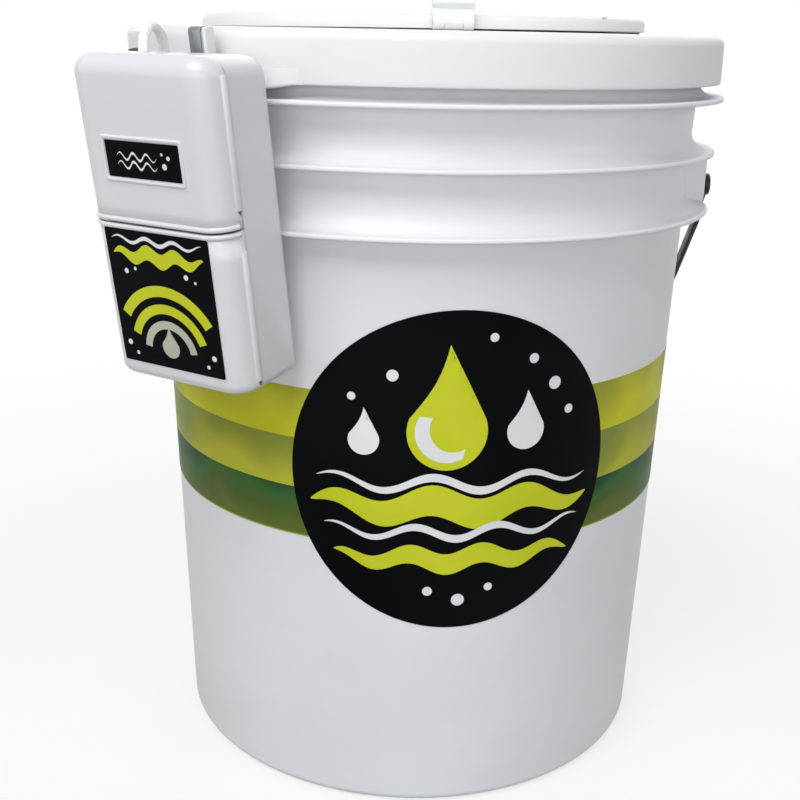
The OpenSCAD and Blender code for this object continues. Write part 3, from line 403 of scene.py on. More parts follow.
PIN = material("pin_steel", (150, 152, 155), (178, 180, 182), rough=(0.25, 0.4), patch=90, grain=10,
               grain_scale=1500, Metallic=1)
STONE = material("stone_grit", (96, 118, 136), (136, 156, 170), rough=(0.85, 0.98), patch=260, grain=1200,
                 grain_scale=800, fine=0.35)
CELL = material("cell_sleeve", (28, 46, 92), (38, 60, 112), rough=(0.3, 0.42), patch=40, grain=10,
                grain_scale=1200, Metallic=0.35)
CAN = material("motor_can", (150, 151, 153), (176, 177, 178), rough=(0.3, 0.5), patch=80, grain=20,
               grain_scale=1300, Metallic=1)
MAGNET = material("sintered_magnet", (46, 46, 50), (62, 62, 66), rough=(0.6, 0.8), patch=200, grain=100,
                  grain_scale=2500)
WINDING = material("copper_winding", (150, 84, 42), (196, 118, 62), rough=(0.3, 0.45), patch=120, grain=300,
                   grain_scale=500, stretch=(1, 6, 6), Metallic=0.9)


# Mesh tools
def add_mesh(name, bm, place):
    """An object in the model's frame from a bmesh in millimetres."""
    bmesh.ops.recalc_face_normals(bm, faces=bm.faces)
    bmesh.ops.transform(bm, matrix=Matrix.Scale(MM, 4) @ place, verts=bm.verts)
    mesh = bpy.data.meshes.new(name)
    bm.to_mesh(mesh)
    bm.free()
    return add_object(name, mesh)


def shade_smooth(mesh, sharp):
    mesh.shade_smooth()
    mesh.set_sharp_from_angle(angle=radians(sharp))


def finish_mesh(name, bm, body, look, node=None, place=HERE, sharp=38):
    """A finished piece of a body, in place of a node of the model where one is named."""
    bmesh.ops.remove_doubles(bm, verts=bm.verts, dist=0.002)
    bmesh.ops.dissolve_degenerate(bm, edges=bm.edges, dist=0.0005)
    made = add_mesh(name, bm, place)
    shade_smooth(made.data, sharp)
    made.data.materials.append(look)
    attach(made, body)
    if node:
        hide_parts(node)
    return made


def arc(cx, cy, r, a0, a1, steps):
    """Points of an arc between two angles in degrees."""
    angles = [radians(a0 + (a1 - a0) * i / steps) for i in range(steps + 1)]
    return [(cx + r * cos(a), cy + r * sin(a)) for a in angles]


def sharp_corners(points):
    """Points as corners that soften leaves as they are."""
    return [(x, y, 0) for x, y in points]


def soften(corners, steps=5):
    """Closed outline from (x, y, radius) corners, each rounded to its radius."""
    outline = []
    for i, (x, y, r) in enumerate(corners):
        corner = Vector((x, y))
        a = Vector(corners[i - 1][:2]) - corner
        b = Vector(corners[(i + 1) % len(corners)][:2]) - corner
        half = a.angle(b, 0) / 2
        if r <= 0 or min(a.length, b.length) < 1e-6 or abs(cos(half)) < 1e-4:
            outline.append((x, y))
            continue
        cut = min(r / tan(half), 0.49 * a.length, 0.49 * b.length)
        r = cut * tan(half)
        a.normalize()
        b.normalize()
        middle = corner + (a + b).normalized() * r / sin(half)
        start = corner + a * cut - middle
        end = corner + b * cut - middle
        turn = atan2(start.x * end.y - start.y * end.x, start.dot(end))
        for k in range(steps + 1):
            c, s = cos(turn * k / steps), sin(turn * k / steps)
            outline.append((middle.x + start.x * c - start.y * s, middle.y + start.x * s + start.y * c))
    return outline


def loft(bm, rings, round_trip=False):
    """Walls between rings of equally many points, with a cap at each end or back round to the first ring."""
    made = [[bm.verts.new(p) for p in ring] for ring in rings]
    count = len(made[0])
    pairs = list(zip(made, made[1:]))
    if round_trip:
        pairs.append((made[-1], made[0]))
    for first, second in pairs:
        for i in range(count):
            j = (i + 1) % count
            bm.faces.new((first[i], first[j], second[j], second[i]))
    if not round_trip:
        bm.faces.new(made[0][::-1])
        bm.faces.new(made[-1])


def solid(shape, *sizes):
    """A bmesh that holds one shape."""
    bm = bmesh.new()
    shape(bm, *sizes)
    return bm


def full_turn(steps):
    return [2 * pi * k / steps for k in range(steps)]


def lathe(outline, steps=288):
    """Solid of revolution about Z from a closed (r, z) outline."""
    return solid(loft, [[(r * cos(a), r * sin(a), z) for r, z in outline] for a in full_turn(steps)], True)


def box(bm, x0, x1, y0, y1, z0, z1):
    corners = [(x0, y0), (x1, y0), (x1, y1), (x0, y1)]
    loft(bm, [[(x, y, z) for x, y in corners] for z in (z0, z1)])


def rod(bm, start, end, radius, steps=40):
    """Cylinder between two points."""
    start, end = Vector(start), Vector(end)
    turn = (end - start).to_track_quat("Z", "Y")
    outline = arc(0, 0, radius, 0, 360 - 360 / steps, steps - 1)
    loft(bm, [[p + turn @ Vector((x, y, 0)) for x, y in outline] for p in (start, end)])


def extrude(bm, outline, place):
    """Prism through a flat outline; place(x, y, end) gives the point at either end."""
    loft(bm, [[place(x, y, end) for x, y in outline] for end in (0, 1)])


def heading(path, i):
    """Direction of a path at one of its points."""
    return (Vector(path[min(i + 1, len(path) - 1)]) - Vector(path[max(i - 1, 0)])).normalized()


def sweep_flat(bm, path, section):
    """Sweeps an (out, across) section along a path in the XY plane; across runs along Z."""
    rings = []
    for i, p in enumerate(path):
        along = heading(path, i)
        rings.append([(p[0] + along.y * o, p[1] - along.x * o, c) for o, c in section(i / (len(path) - 1))])
    loft(bm, rings)


def all_of(bm):
    return bm.verts[:] + bm.edges[:] + bm.faces[:]


def round_edges(obj, width, segments=3, angle=32):
    made = obj.modifiers.new("edges", "BEVEL")
    made.width = width * MM
    made.segments = segments
    made.limit_method = "ANGLE"
    made.angle_limit = radians(angle)
    made.harden_normals = True
    made.use_clamp_overlap = True


def drill(obj, start, end, radius, steps, place=HERE):
    """Takes a rod out of a piece."""
    tool = add_mesh("tool", solid(rod, start, end, radius, steps), place)
    made = obj.modifiers.new("cut", "BOOLEAN")
    made.operation = "DIFFERENCE"
    made.solver = "EXACT"
    made.object = tool
    bpy.context.view_layer.update()
    result = bpy.data.meshes.new_from_object(obj.evaluated_get(bpy.context.evaluated_depsgraph_get()))
    obj.modifiers.clear()
    obj.data = result
    shade_smooth(result, 38)
    bpy.data.objects.remove(tool)


# Air line inside the bucket, hanging from the lid to the stone on the floor
DROP_ROUTE = [
    (-0.094, -0.091, 0.362), (-0.094, -0.091, 0.352), (-0.092, -0.089, 0.342), (-0.087, -0.084, 0.332),
    (-0.081, -0.078, 0.321), (-0.077, -0.074, 0.307), (-0.076, -0.073, 0.290), (-0.076, -0.073, 0.270),
    (-0.076, -0.072, 0.250), (-0.075, -0.072, 0.230), (-0.075, -0.071, 0.210), (-0.074, -0.071, 0.190),
    (-0.073, -0.070, 0.170), (-0.073, -0.070, 0.150), (-0.072, -0.070, 0.130), (-0.072, -0.069, 0.110),
    (-0.072, -0.069, 0.092), (-0.072, -0.069, 0.078), (-0.071, -0.069, 0.066), (-0.067, -0.069, 0.053),
    (-0.060, -0.069, 0.043), (-0.051, -0.069, 0.0355), (-0.041, -0.069, 0.0312), (-0.030, -0.069, 0.030),
]


def air_line_drop():
    data = bpy.data.curves.new("air_line_drop", "CURVE")
    data.dimensions = "3D"
    spline = data.splines.new("POLY")
    spline.points.add(len(DROP_ROUTE) - 1)
    for point, place in zip(spline.points, DROP_ROUTE):
        point.co = (*place, 1)
    data.bevel_depth = LINE_R * MM
    data.bevel_resolution = 6
    data.use_fill_caps = True
    data.materials.append(HOSE)
    made = add_object("air_line_drop", data)
    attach(made, "lid")
    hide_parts("airline_drop")


air_line_drop()


# Bucket
def bucket_wall():
    """Corners run from the hollow foot up the outside, over the rim and down the inside."""
    foot_in = wall_r(0) - CHINE_R - FOOT_W
    floor_z = FOOT_H + FLOOR_T
    corners = [(foot_in - 2, FOOT_H, 0.8), (foot_in, 0, 1.2)]
    corners += sharp_corners(arc(wall_r(CHINE_R) - CHINE_R, CHINE_R, CHINE_R, 270, 360, 10))
    for z, out in RIBS:
        wall, top = wall_r(z), z + RIB_T
        corners += [(wall, z, 1.6), (wall + out, z, 1.0), (wall + out, top, 1.1)]
        corners += sharp_corners(arc(wall + RIB_BLEND, top + RIB_BLEND, RIB_BLEND, 270, 180, 12))
    rim_z = BUCKET_H - RIM_H + 1.5
    corners += [(RIM_R - 1.6, rim_z - 1.2, 0), (RIM_R, rim_z, 0.8), (RIM_R, BUCKET_H, 1.0)]
    corners += [(wall_r(BUCKET_H) - WALL, BUCKET_H, 0.8), (wall_r(floor_z) - WALL, floor_z, 4)]
    corners += [(0, floor_z, 0), (0, FOOT_H, 0)]
    finish_mesh("bucket_wall", lathe(soften(corners)), "bucket", PAIL, "bucket_shell")


def bucket_ear(word, side):
    """Boss between two ribs that carries the bail's stud, and blends into the lower rib at its foot."""
    low, high = RIBS[0][0] + 1, RIBS[1][0] + 0.6
    steps = 14
    rings = []
    for k in range(steps + 1):
        y = EAR_W * (k / steps - 0.5)
        out = sqrt(EAR_R**2 - y**2)
        wall = sqrt((wall_r(low) - 0.4) ** 2 - y**2)
        flange = out - EAR_OUT - 0.1
        profile = ((wall, low), (flange, low), (flange, low + 0.8), (out - 0.12, low + 3), (out, low + 6),
                   (out, high), (wall, high))
        rings.append([(side * x, y, z) for x, z in profile])
    made = finish_mesh(f"bucket_ear_{word}", solid(loft, rings), "bucket", PAIL, "bucket_shell")
    drill(made, (side * (EAR_R - 8.5), 0, BAIL_Z), (side * (EAR_R + 2), 0, BAIL_Z), STUD_R + 0.1, 48)
    round_edges(made, 0.9, 4)


bucket_wall()
bucket_ear("left", -1)
bucket_ear("right", 1)


# Printed graphics
def stripe_band():
    """The three bands go right round the wall, under the round label."""
    low, high = STRIPE_Z, STRIPE_Z + 3 * STRIPE_H
    under, face = 0.02, GLUE_T + 0.16
    corners = [(wall_r(low) + under, low), (wall_r(low) + face, low), (wall_r(high) + face, high),
               (wall_r(high) + under, high)]
    finish_mesh("stripe_film", lathe(corners), "bucket", STRIPES, "stripe_label")


def on_disc(u, v, lift):
    """A point of the round label, u to its right and v up from its middle, lift above its face."""
    z = DISC_Z + v
    r = wall_r(z) + GLUE_T + FILM_T + lift
    turn = DISC_TURN + u / r
    return (r * sin(turn), -r * cos(turn), z)


def on_pump(y):
    """Maps flat points onto the pump's front at a depth."""
    return lambda u, v, lift: (u, y - lift, v)


def printed(name, shapes, where, look, body, node=None, thick=PRINT_T, place=HERE, slice_w=3):
    """Thin print on a surface: flat shapes cut into small cells, laid on it and given a thickness."""
    bm = bmesh.new()
    for outline in [face for shape in shapes for face in shape]:
        face = bm.faces.new([bm.verts.new((u, v, 0)) for u, v in outline])
        bmesh.ops.triangulate(bm, faces=[face])
    for axis, across in ((0, (1, 0, 0)), (1, (0, 1, 0))):
        low = min(v.co[axis] for v in bm.verts)
        high = max(v.co[axis] for v in bm.verts)
        at = ceil(low / slice_w) * slice_w
        while at < high:
            bmesh.ops.bisect_plane(bm, geom=all_of(bm), plane_co=[at * c for c in across], plane_no=across)
            at += slice_w
    bmesh.ops.remove_doubles(bm, verts=bm.verts, dist=0.003)
    bmesh.ops.recalc_face_normals(bm, faces=bm.faces)
    top = bmesh.ops.duplicate(bm, geom=all_of(bm))
    raised = {v for v in top["geom"] if isinstance(v, bmesh.types.BMVert)}
    pair = {a: b for a, b in top["vert_map"].items() if b in raised}
    rim = [e for e in bm.edges if len(e.link_faces) == 1 and e.verts[0] not in raised]
    for a, b in [e.verts for e in rim]:
        bm.faces.new((a, b, pair[b], pair[a]))
    for v in bm.verts:
        v.co = where(v.co.x, v.co.y, thick if v in raised else -0.03)
    finish_mesh(name, bm, body, look, node, place, sharp=50)


def ribbon(lower, upper):
    """Four-sided faces between two rows of points."""
    return [[lower[i], lower[i + 1], upper[i + 1], upper[i]] for i in range(len(lower) - 1)]


def wave(u0, u1, v0, height, length, thick, phase=0.0, steps=60):
    """Wavy stroke that thins to its two ends."""
    upper, lower = [], []
    for i in range(steps + 1):
        t = i / steps
        u = u0 + (u1 - u0) * t
        v = v0 + height * sin(2 * pi * (u - u0) / length + phase)
        half = thick / 2 * max(0.04, sin(pi * t) ** 0.6)
        upper.append((u, v + half))
        lower.append((u, v - half))
    return ribbon(lower, upper)


def drop(u, v, r, tall):
    """Water drop: a round foot and a pointed top whose sides curve in."""
    def side(start, end, bow):
        places = [k / 10 for k in range(1, 10)]
        return [(start[0] + (end[0] - start[0]) * t + bow * sin(pi * t),
                 start[1] + (end[1] - start[1]) * t) for t in places]

    foot = arc(u, v, r, 160, 380, 28)
    tip = (u, v + tall)
    bow = 0.16 * r
    return [foot + side(foot[-1], tip, -bow) + [tip] + side(tip, foot[0], bow)]


def crescent(u, v, r, inner, shift, a0, a1, steps=24):
    return ribbon(arc(u + shift[0], v + shift[1], inner, a0, a1, steps), arc(u, v, r, a0, a1, steps))


def dot(u, v, r):
    return [arc(u, v, r, 0, 345, 23)]


def band_arc(u, v, r0, r1, a0, a1, steps=36):
    return ribbon(arc(u, v, r0, a0, a1, steps), arc(u, v, r1, a0, a1, steps))


def round_label():
    rim = arc(0, 0, DISC_R, 0, 358, 179)
    face = -GLUE_T * 0.4
    printed("round_label_film", [[rim]], on_disc, LABEL, "bucket", "round_label", thick=face)
    lime = [
        drop(-5, 22, 19, 42),
        wave(-70, 71, -16, 3.8, 47, 16),
        wave(-58, 61, -43, 2.8, 35, 11, 1.2),
    ]
    white = [
        crescent(-5, 22, 15.2, 11.4, (3, 1.4), 150, 300),
        wave(-67, 69, -4.2, 3.6, 47, 4.2, 0.35),
        wave(-63, 66, -29.2, 3.1, 40, 4, 0.9),
        drop(33, 21, 9.5, 20),
        drop(-44, 17, 7.5, 16),
    ]
    dots = ((47, 43, 3.2), (35, 56, 2.4), (56, 29, 2.3), (-31, 49, 2.8), (-50, 38, 2), (15, 67, 2.1),
            (-12, -60, 2.4), (3, -65, 3.2), (18, -59, 2.1))
    white += [dot(*spot) for spot in dots]
    for word, shapes, look, rise in (("lime", lime, PRINT_LIME, 1), ("white", white, PRINT_WHITE, 1.3)):
        def lifted(u, v, lift):
            return on_disc(u, v, face + lift * rise)

        printed(f"round_label_{word}", shapes, lifted, look, "bucket")


stripe_band()
round_label()


# Bail, swept along one path: up a leg, over the hoop and down the other leg
def smooth(t):
    return t * t * (3 - 2 * t)


def bail():
    """The path lies in the bail's own plane: hub, step out over the ribs, leg and hoop."""
    half_t, half_w = STRAP_T / 2, STRAP_W / 2
    hub_x = EAR_R + STRAP_GAP + half_t
    leg_x = RIB_TOP_R + STRAP_GAP + half_t
    low, high = STRAP_W + 1, RIBS[2][0] - BAIL_Z - 10
    rise = HOOP_LEN - LEG_LEN
    right = [(hub_x, 0), (hub_x, low / 2)]
    right += [(hub_x + (leg_x - hub_x) * smooth(k / 10), low + (high - low) * k / 10) for k in range(11)]
    right += [(leg_x, 52), (leg_x, 70), (leg_x, LEG_LEN)]

    def hoop(turns):
        return [(leg_x * cos(a), LEG_LEN + rise * sin(a)) for a in turns]

    path = right + hoop([pi * k / 90 for k in range(1, 90)]) + [(-x, y) for x, y in right[::-1]]
    corners = [(-half_t, -half_w), (half_t, -half_w), (half_t, half_w), (-half_t, half_w)]
    section = soften([(t, w, 1.2) for t, w in corners], 4)
    bm = solid(sweep_flat, path, lambda t: section)
    for sign in (-1, 1):
        for near, far, r, steps in ((hub_x - half_t, hub_x + half_t, half_w + 2, 64),
                                    (EAR_R - 8, hub_x - half_t + 0.5, STUD_R, 48),
                                    (hub_x + half_t - 0.2, hub_x + half_t + 0.4, half_w - 0.4, 48)):
            rod(bm, (sign * near, 0, 0), (sign * far, 0, 0), r, steps)
    strap = finish_mesh("bail_strap_moulding", bm, "bail", BLACK, "bail_strap", AT_BAIL)
    round_edges(strap, 0.35, 2, 50)

    half_turn = asin(GRIP_LEN / 2 / leg_x)
    steps = 64
    grip_path = hoop([pi / 2 - half_turn + 2 * half_turn * k / steps for k in range(steps + 1)])
    end_run, finger_w, finger_depth = 6, 22, 0.7

    def grip_section(t):
        """Drawn in at both ends, with finger grooves between them."""
        end = min(t, 1 - t) * GRIP_LEN
        swell = 1 - 0.22 * max(0, 1 - end / end_run) ** 2
        groove = 0.5 * (1 + cos(2 * pi * (t - 0.5) * GRIP_LEN / finger_w)) if end > finger_w / 2 else 0
        w = GRIP_W / 2 * swell
        h = GRIP_T / 2 * swell
        out = h - finger_depth * groove
        return soften([(-h, -w, 4.2), (out, -w, 4.2), (out, w, 4.2), (-h, w, 4.2)], 6)

    bm = solid(sweep_flat, grip_path, grip_section)
    grip = finish_mesh("bail_grip_moulding", bm, "bail", BLACK, "bail_grip", AT_BAIL)
    round_edges(grip, 0.8, 3, 45)


bail()


# Lid
def lid_ring():
    """Corners run up the skirt, over the deck, down the opening's collar and round the rim's channel."""
    seat_z = BUCKET_H + GASKET_T
    seat_r = RIM_R + 1
    skirt_in = SKIRT_R - SKIRT_T
    low = DECK_Z - COLLAR_H
    under = DECK_Z - DECK_T
    plug_r = wall_r(BUCKET_H) - WALL - PLUG_GAP
    channel = DECK_Z - SHOULDER - 1
    corners = [(SKIRT_R - 0.1, SKIRT_Z, 0.7), (SKIRT_R, SKIRT_Z + 2.2, 0.3)]
    corners += sharp_corners(arc(SKIRT_R - SHOULDER, DECK_Z - SHOULDER, SHOULDER, 0, 90, 14))
    corners += [
        (OPENING_R, DECK_Z, 1.1), (OPENING_R, low, 0.8), (OPENING_R + COLLAR_T, low, 0.8),
        (OPENING_R + COLLAR_T, under, 1), (plug_r - PLUG_T, under, 1), (plug_r - PLUG_T, low, 0.6),
        (plug_r, low, 0.8), (plug_r, seat_z, 0.3), (seat_r, seat_z, 0.4), (seat_r, channel, 0.6),
        (skirt_in, channel, 0.6), (skirt_in, SKIRT_Z + 3.6, 0.3), (seat_r + 0.5, SKIRT_Z + 2.4, 0.3),
        (seat_r + 0.5, SKIRT_Z + 1.2, 0.3), (skirt_in, SKIRT_Z, 0.2),
    ]
    finish_mesh("lid_ring", lathe(soften(corners, 4)), "lid", LID, "lid_shell")


def lid_bracket():
    """Boss on the skirt, whose right end falls back to the skirt in a wedge."""
    face = BRACKET_Z + BRACKET_H
    start = BRACKET_A0 - BRACKET_RUN
    step = 0.5
    sink, bury = 0.1, 1.4
    rings = []
    for k in range(int((BRACKET_A1 - start) / step) + 1):
        angle = start + step * k
        t = smooth(min(1, (angle - start) / BRACKET_RUN))
        out = (BRACKET_OUT + sink) * t - sink
        r = SKIRT_R + out
        low = BRACKET_Z + (SKIRT_Z - BRACKET_Z + 0.1) * (1 - t)
        ledge = face + BRACKET_LEDGE * (0.25 + 0.75 * t)
        outline = soften([(SKIRT_R - bury, low + 0.1, 0), (r, low, max(0, min(1, out))),
                          (r, face, max(0, min(0.9, out))), (SKIRT_R - 0.2, ledge, 0.4),
                          (SKIRT_R - bury, ledge, 0)], 5)
        turn = radians(-90 - angle)
        rings.append([(x * cos(turn), x * sin(turn), z) for x, z in outline])
    finish_mesh("lid_bracket", solid(loft, rings), "lid", LID, "lid_shell", sharp=45)


def lid_lug():
    """Lug that the pump's hanger hooks over, with a cheek at each side of the hook, and the air port."""
    lug_y = CASE_D + STRIP_T + HOOK_GAP
    low = PORT_Z - 9
    reach, cheek_t, port_r, block_w = 14, 2, 4, 7.2

    def block(name, x0, x1, y0, y1, z0, z1, edge):
        bm = solid(box, x0, x1, y0, y1, z0, z1)
        round_edges(finish_mesh(name, bm, "lid", LID, "lid_shell", AT_PUMP), edge, 4)

    lug = (STRIP_X - LUG_W / 2, STRIP_X + LUG_W / 2)
    block("hanger_lug", *lug, lug_y, lug_y + LUG_T, low, HOOK_Z - STRIP_T - HOOK_GAP, 0.7)
    block("hanger_web", *lug, lug_y + 1, lug_y + reach, low + 0.2, PORT_Z, 0.7)
    cheek = STRIP_W / 2 + HOOK_GAP
    for word, x0 in (("right", STRIP_X + cheek), ("left", STRIP_X - cheek - cheek_t)):
        x1 = x0 + cheek_t
        block(f"hanger_cheek_{word}", x0, x1, lug_y - 0.2, lug_y + LUG_T + 2.6, low, HOOK_Z - 0.2, 0.6)
        block(f"hanger_rib_{word}", x0 + 0.1, x1 - 0.1, lug_y + 1, lug_y + reach, low, PORT_Z, 0.6)
    x, y = PORT
    block("air_port_block", x - block_w / 2, x + block_w / 2, y + 1.5, y + reach, low + 0.2, PORT_Z - 2, 0.6)
    bm = solid(rod, (x, y, low), (x, y, PORT_Z), port_r, 56)
    rod(bm, (x, y, PORT_Z - 1), (x, y, BEND_Z), SPIGOT_R, 40)
    round_edges(finish_mesh("air_port", bm, "lid", LID, "lid_shell", AT_PUMP), 0.4)


def lid_fittings():
    """Hinge lugs, the latch's lug and the fitting that the inner air line hangs from."""
    foot = DECK_Z - 0.5
    hinge = arc(HINGE_Y, HINGE_Z, HINGE_BARREL, 0, 180, 16)
    hinge += [(HINGE_Y - HINGE_BARREL - 0.6, foot), (HINGE_Y + HINGE_BARREL + 0.6, foot)]
    catch = arc(LATCH_Y, LATCH_Z, LATCH_BARREL, 0, 280, 30)
    catch += [(LATCH_Y + 0.6, foot), (LATCH_Y + LATCH_BARREL, foot)]
    for name, x, half, outline, edge in (("hinge_lug_left", -22, 4, hinge, 0.45),
                                         ("hinge_lug_right", 22, 4, hinge, 0.45),
                                         ("latch_lug", 0, 4.1, catch, 0.3)):
        bm = solid(extrude, outline, lambda y, z, end: (x + half * (2 * end - 1), y, z))
        round_edges(finish_mesh(name, bm, "lid", LID, "lid_shell", AT_HATCH), edge)
    x, y, z = (c / MM for c in DROP_ROUTE[0])
    bm = solid(rod, (x, y, z), (x, y, DECK_Z - DECK_T + 0.5), 3.6, 48)
    round_edges(finish_mesh("drop_fitting", bm, "lid", LID, "lid_shell"), 0.5)


lid_ring()
lid_bracket()
lid_lug()
lid_fittings()


# Hatch and latch
def hatch():
    """Disc with a shallow dish in its top, hinge knuckle, web and gate mark."""
    top, dish = HATCH_TOP, 0.55
    inner = HATCH_R - HATCH_T
    hub_r, hub_drop = 19, 0.2
    corners = [(inner, HATCH_Z, 0.3), (HATCH_R, HATCH_Z, 0.4), (HATCH_R, top, 2.6)]
    corners += [(HATCH_R - 7, top, 1.2), (HATCH_R - 8.2, top - dish, 1.2), (hub_r + 3, top - dish, 3),
                (hub_r, top - hub_drop, 3), (0, top - hub_drop, 0)]
    corners += [(0, top - HATCH_T, 0), (inner - 2, top - HATCH_T, 1), (inner, top - HATCH_T - 2, 1)]
    finish_mesh("hatch_skin", lathe(soften(corners, 6)), "hatch", LID, "hatch_cover", AT_COVER)

    half = 17
    bm = solid(rod, (-half, HINGE_Y, HINGE_Z), (half, HINGE_Y, HINGE_Z), HINGE_BARREL, 56)
    knuckle = finish_mesh("hatch_knuckle", bm, "hatch", LID, "hatch_cover", AT_HATCH)
    bore, bore_r = half + 3, HINGE_PIN_R + PIN_CLEAR
    drill(knuckle, (-bore, HINGE_Y, HINGE_Z), (bore, HINGE_Y, HINGE_Z), bore_r, 48, AT_HATCH)
    round_edges(knuckle, 0.4)
    bm = solid(box, 0.4 - half, half - 0.4, HATCH_R - 3, HINGE_Y - 1.7, HINGE_Z - 2, HINGE_Z + 2)
    round_edges(finish_mesh("hatch_web", bm, "hatch", LID, "hatch_cover", AT_HATCH), 0.6)

    # Small gate mark on the edge, to the right of the latch
    turn = radians(-90 + 47.6) - HATCH_TURN
    c, s = cos(turn), sin(turn)
    outline = soften([(-1.9, -0.5, 0.4), (1.9, -0.5, 0.4), (1.3, 0.55, 0.4), (-1.3, 0.55, 0.4)], 3)

    def on_edge(across, up, end):
        r = HATCH_R - 2.6 + 2 * end
        return (r * c - across * s, r * s + across * c, top + up * 0.6)

    finish_mesh("hatch_gate_mark", solid(extrude, outline, on_edge), "hatch", LID, "hatch_cover", AT_COVER)


def latch():
    """Plate with a rolled lip at its top, whose face runs down over its knuckles."""
    face = -HATCH_R - 0.6
    back = face - LATCH_T
    foot = LATCH_Y - LATCH_BARREL
    low = LATCH_Z + LATCH_BARREL + 0.25
    nose, nose_tip = HATCH_TOP + 0.25, face + 0.6 + LATCH_NOSE
    crease = HATCH_TOP + 2
    tip = LATCH_Z + LATCH_H
    lip = 1.7
    profile = [(face, low), (face, nose), (nose_tip, nose), (nose_tip, nose + 0.4), (face, crease)]
    profile += arc(back - 0.2, tip - lip, lip, 0, 215, 16)
    profile += [(back, crease), (back - 0.4, crease - 0.8), (back - 1.1, low + 1.4),
                (foot - 0.25, LATCH_Z + 1.2), (foot - 0.3, LATCH_Z), (foot - 0.05, LATCH_Z)]
    profile += arc(LATCH_Y, LATCH_Z, LATCH_BARREL + 0.06, 176, 96, 8) + [(LATCH_Y + 0.6, low)]

    def across(y, z, end):
        half = LATCH_W / 2 - LATCH_TAPER / 2 * (tip - z) / LATCH_H
        return ((2 * end - 1) * half, y, z)

    plate = finish_mesh("latch_plate", solid(extrude, profile, across), "latch", LID, "latch", AT_HATCH)
    round_edges(plate, 0.3, 3, 55)

    side, gap = (LATCH_W - LATCH_TAPER) / 2, 4.2
    bore, bore_r = 20, LATCH_PIN_R + PIN_CLEAR
    outline = arc(LATCH_Y, LATCH_Z, LATCH_BARREL + 0.1, 180, 350, 16)
    outline += [(face - 0.05, LATCH_Z + 0.6), (face - 0.05, low + 0.4), (back + 0.05, low + 0.4),
                (foot, LATCH_Z + 0.8)]
    for word, x0, x1 in (("left", -side, -gap), ("right", gap, side)):
        bm = solid(extrude, outline, lambda y, z, end: (x0 + (x1 - x0) * end, y, z))
        knuckle = finish_mesh(f"latch_knuckle_{word}", bm, "latch", LID, "latch", AT_HATCH)
        drill(knuckle, (-bore, LATCH_Y, LATCH_Z), (bore, LATCH_Y, LATCH_Z), bore_r, 40, AT_HATCH)


hatch()
latch()


# Air pump's case
def case_ring(z, inset):
    """Points round the case at a height, drawn in by an inset; its top falls towards the back."""
    half = CASE_W / 2 - inset
    front, back = inset, CASE_D - inset
    fr, br = max(FRONT_R - inset, 1.2), max(BACK_R - inset, 0.8)
    ring = (arc(half - fr, front + fr, fr, -90, 0, 14) + arc(half - br, back - br, br, 0, 90, 8)
            + arc(-half + br, back - br, br, 90, 180, 8) + arc(-half + fr, front + fr, fr, 180, 270, 14))
    return [(x, y, z * (1 - TOP_FALL * y / CASE_H)) for x, y in ring]


def case_levels():
    """(height, inset) of each ring, from the rounded foot to the rounded top."""
    foot = [radians(9 * k) for k in range(11)]
    top = [radians(7.5 * k) for k in range(13)]
    levels = [(LOW_R - LOW_R * cos(a), LOW_R - LOW_R * sin(a)) for a in foot]
    levels += [(z, 0) for z in range(20, 121, 20)]
    levels += [(CASE_H - TOP_R + TOP_R * sin(a), TOP_R - TOP_R * cos(a)) for a in top]
    return levels


def case_part(name, body, node, keep):
    """One moulding of the case: its surface cut down by (point, direction) planes, and given a wall."""
    bm = solid(loft, [case_ring(z, inset) for z, inset in case_levels()])
    bmesh.ops.recalc_face_normals(bm, faces=bm.faces)
    for at, towards in keep:
        bmesh.ops.bisect_plane(bm, geom=all_of(bm), plane_co=at, plane_no=towards, clear_outer=True, dist=0.0005)
    made = finish_mesh(name, bm, body, PUMP, node, AT_PUMP)
    wall = made.modifiers.new("wall", "SOLIDIFY")
    wall.thickness = CASE_T * MM
    wall.offset = -1
    wall.use_even_offset = True
    wall.use_rim = True
    return made


def outline_bead(z, height, out):
    """Half-round bead that follows the covers' outline at a height, and stops short at the right."""
    run = [(x, y) for x, y, _ in case_ring(z, 0) if y < COVER_D - 0.05]
    end_y = COVER_D - 3
    path = [(-CASE_W / 2, COVER_D - 0.15)] + [p for p in run if p[0] < 0]
    path += [p for p in run if p[0] > 0 and p[1] < end_y - 0.05] + [(CASE_W / 2, end_y)]
    bow = [radians(a) for a in range(-75, 76, 15)]
    section = [(-0.6, -height / 2), (0, -height / 2)]
    section += [(out * cos(a), height / 2 * sin(a)) for a in bow]
    section += [(0, height / 2), (-0.6, height / 2)]
    return solid(sweep_flat, path, lambda t: [(o, z + h) for o, h in section])


def side_ridge(side, z0, z1):
    """Rounded ridge along a parting line, with square ends."""
    x = side * (CASE_W / 2 - 0.3)
    y = COVER_D - 1.8
    outline = [(-1.8, 0), (-1.65, 0.6), (-1.0, 1.15), (0, 1.35), (1.0, 1.15), (1.6, 0.7), (1.75, 0)]
    rings = []
    for z, scale in ((z0, 0.85), (z0 + 0.5, 1), (z1 - 0.5, 1), (z1, 0.85)):
        rings.append([(x + side * o * scale, y + w * (0.5 + 0.5 * scale), z) for w, o in outline])
    return solid(loft, rings)


def notch_shade_prism(side, z):
    """Painted shade: a small dark prism under a ridge, wide at its top, that stands in for the shadow in the
    recess there.
    """
    y = COVER_D - 1.6
    outline = [(y - 1.3, z), (y + 1.3, z), (y + 0.3, z - 2.4)]
    return solid(extrude, outline, lambda a, b, end: (side * (CASE_W / 2 - 0.5 + 0.56 * end), a, b))


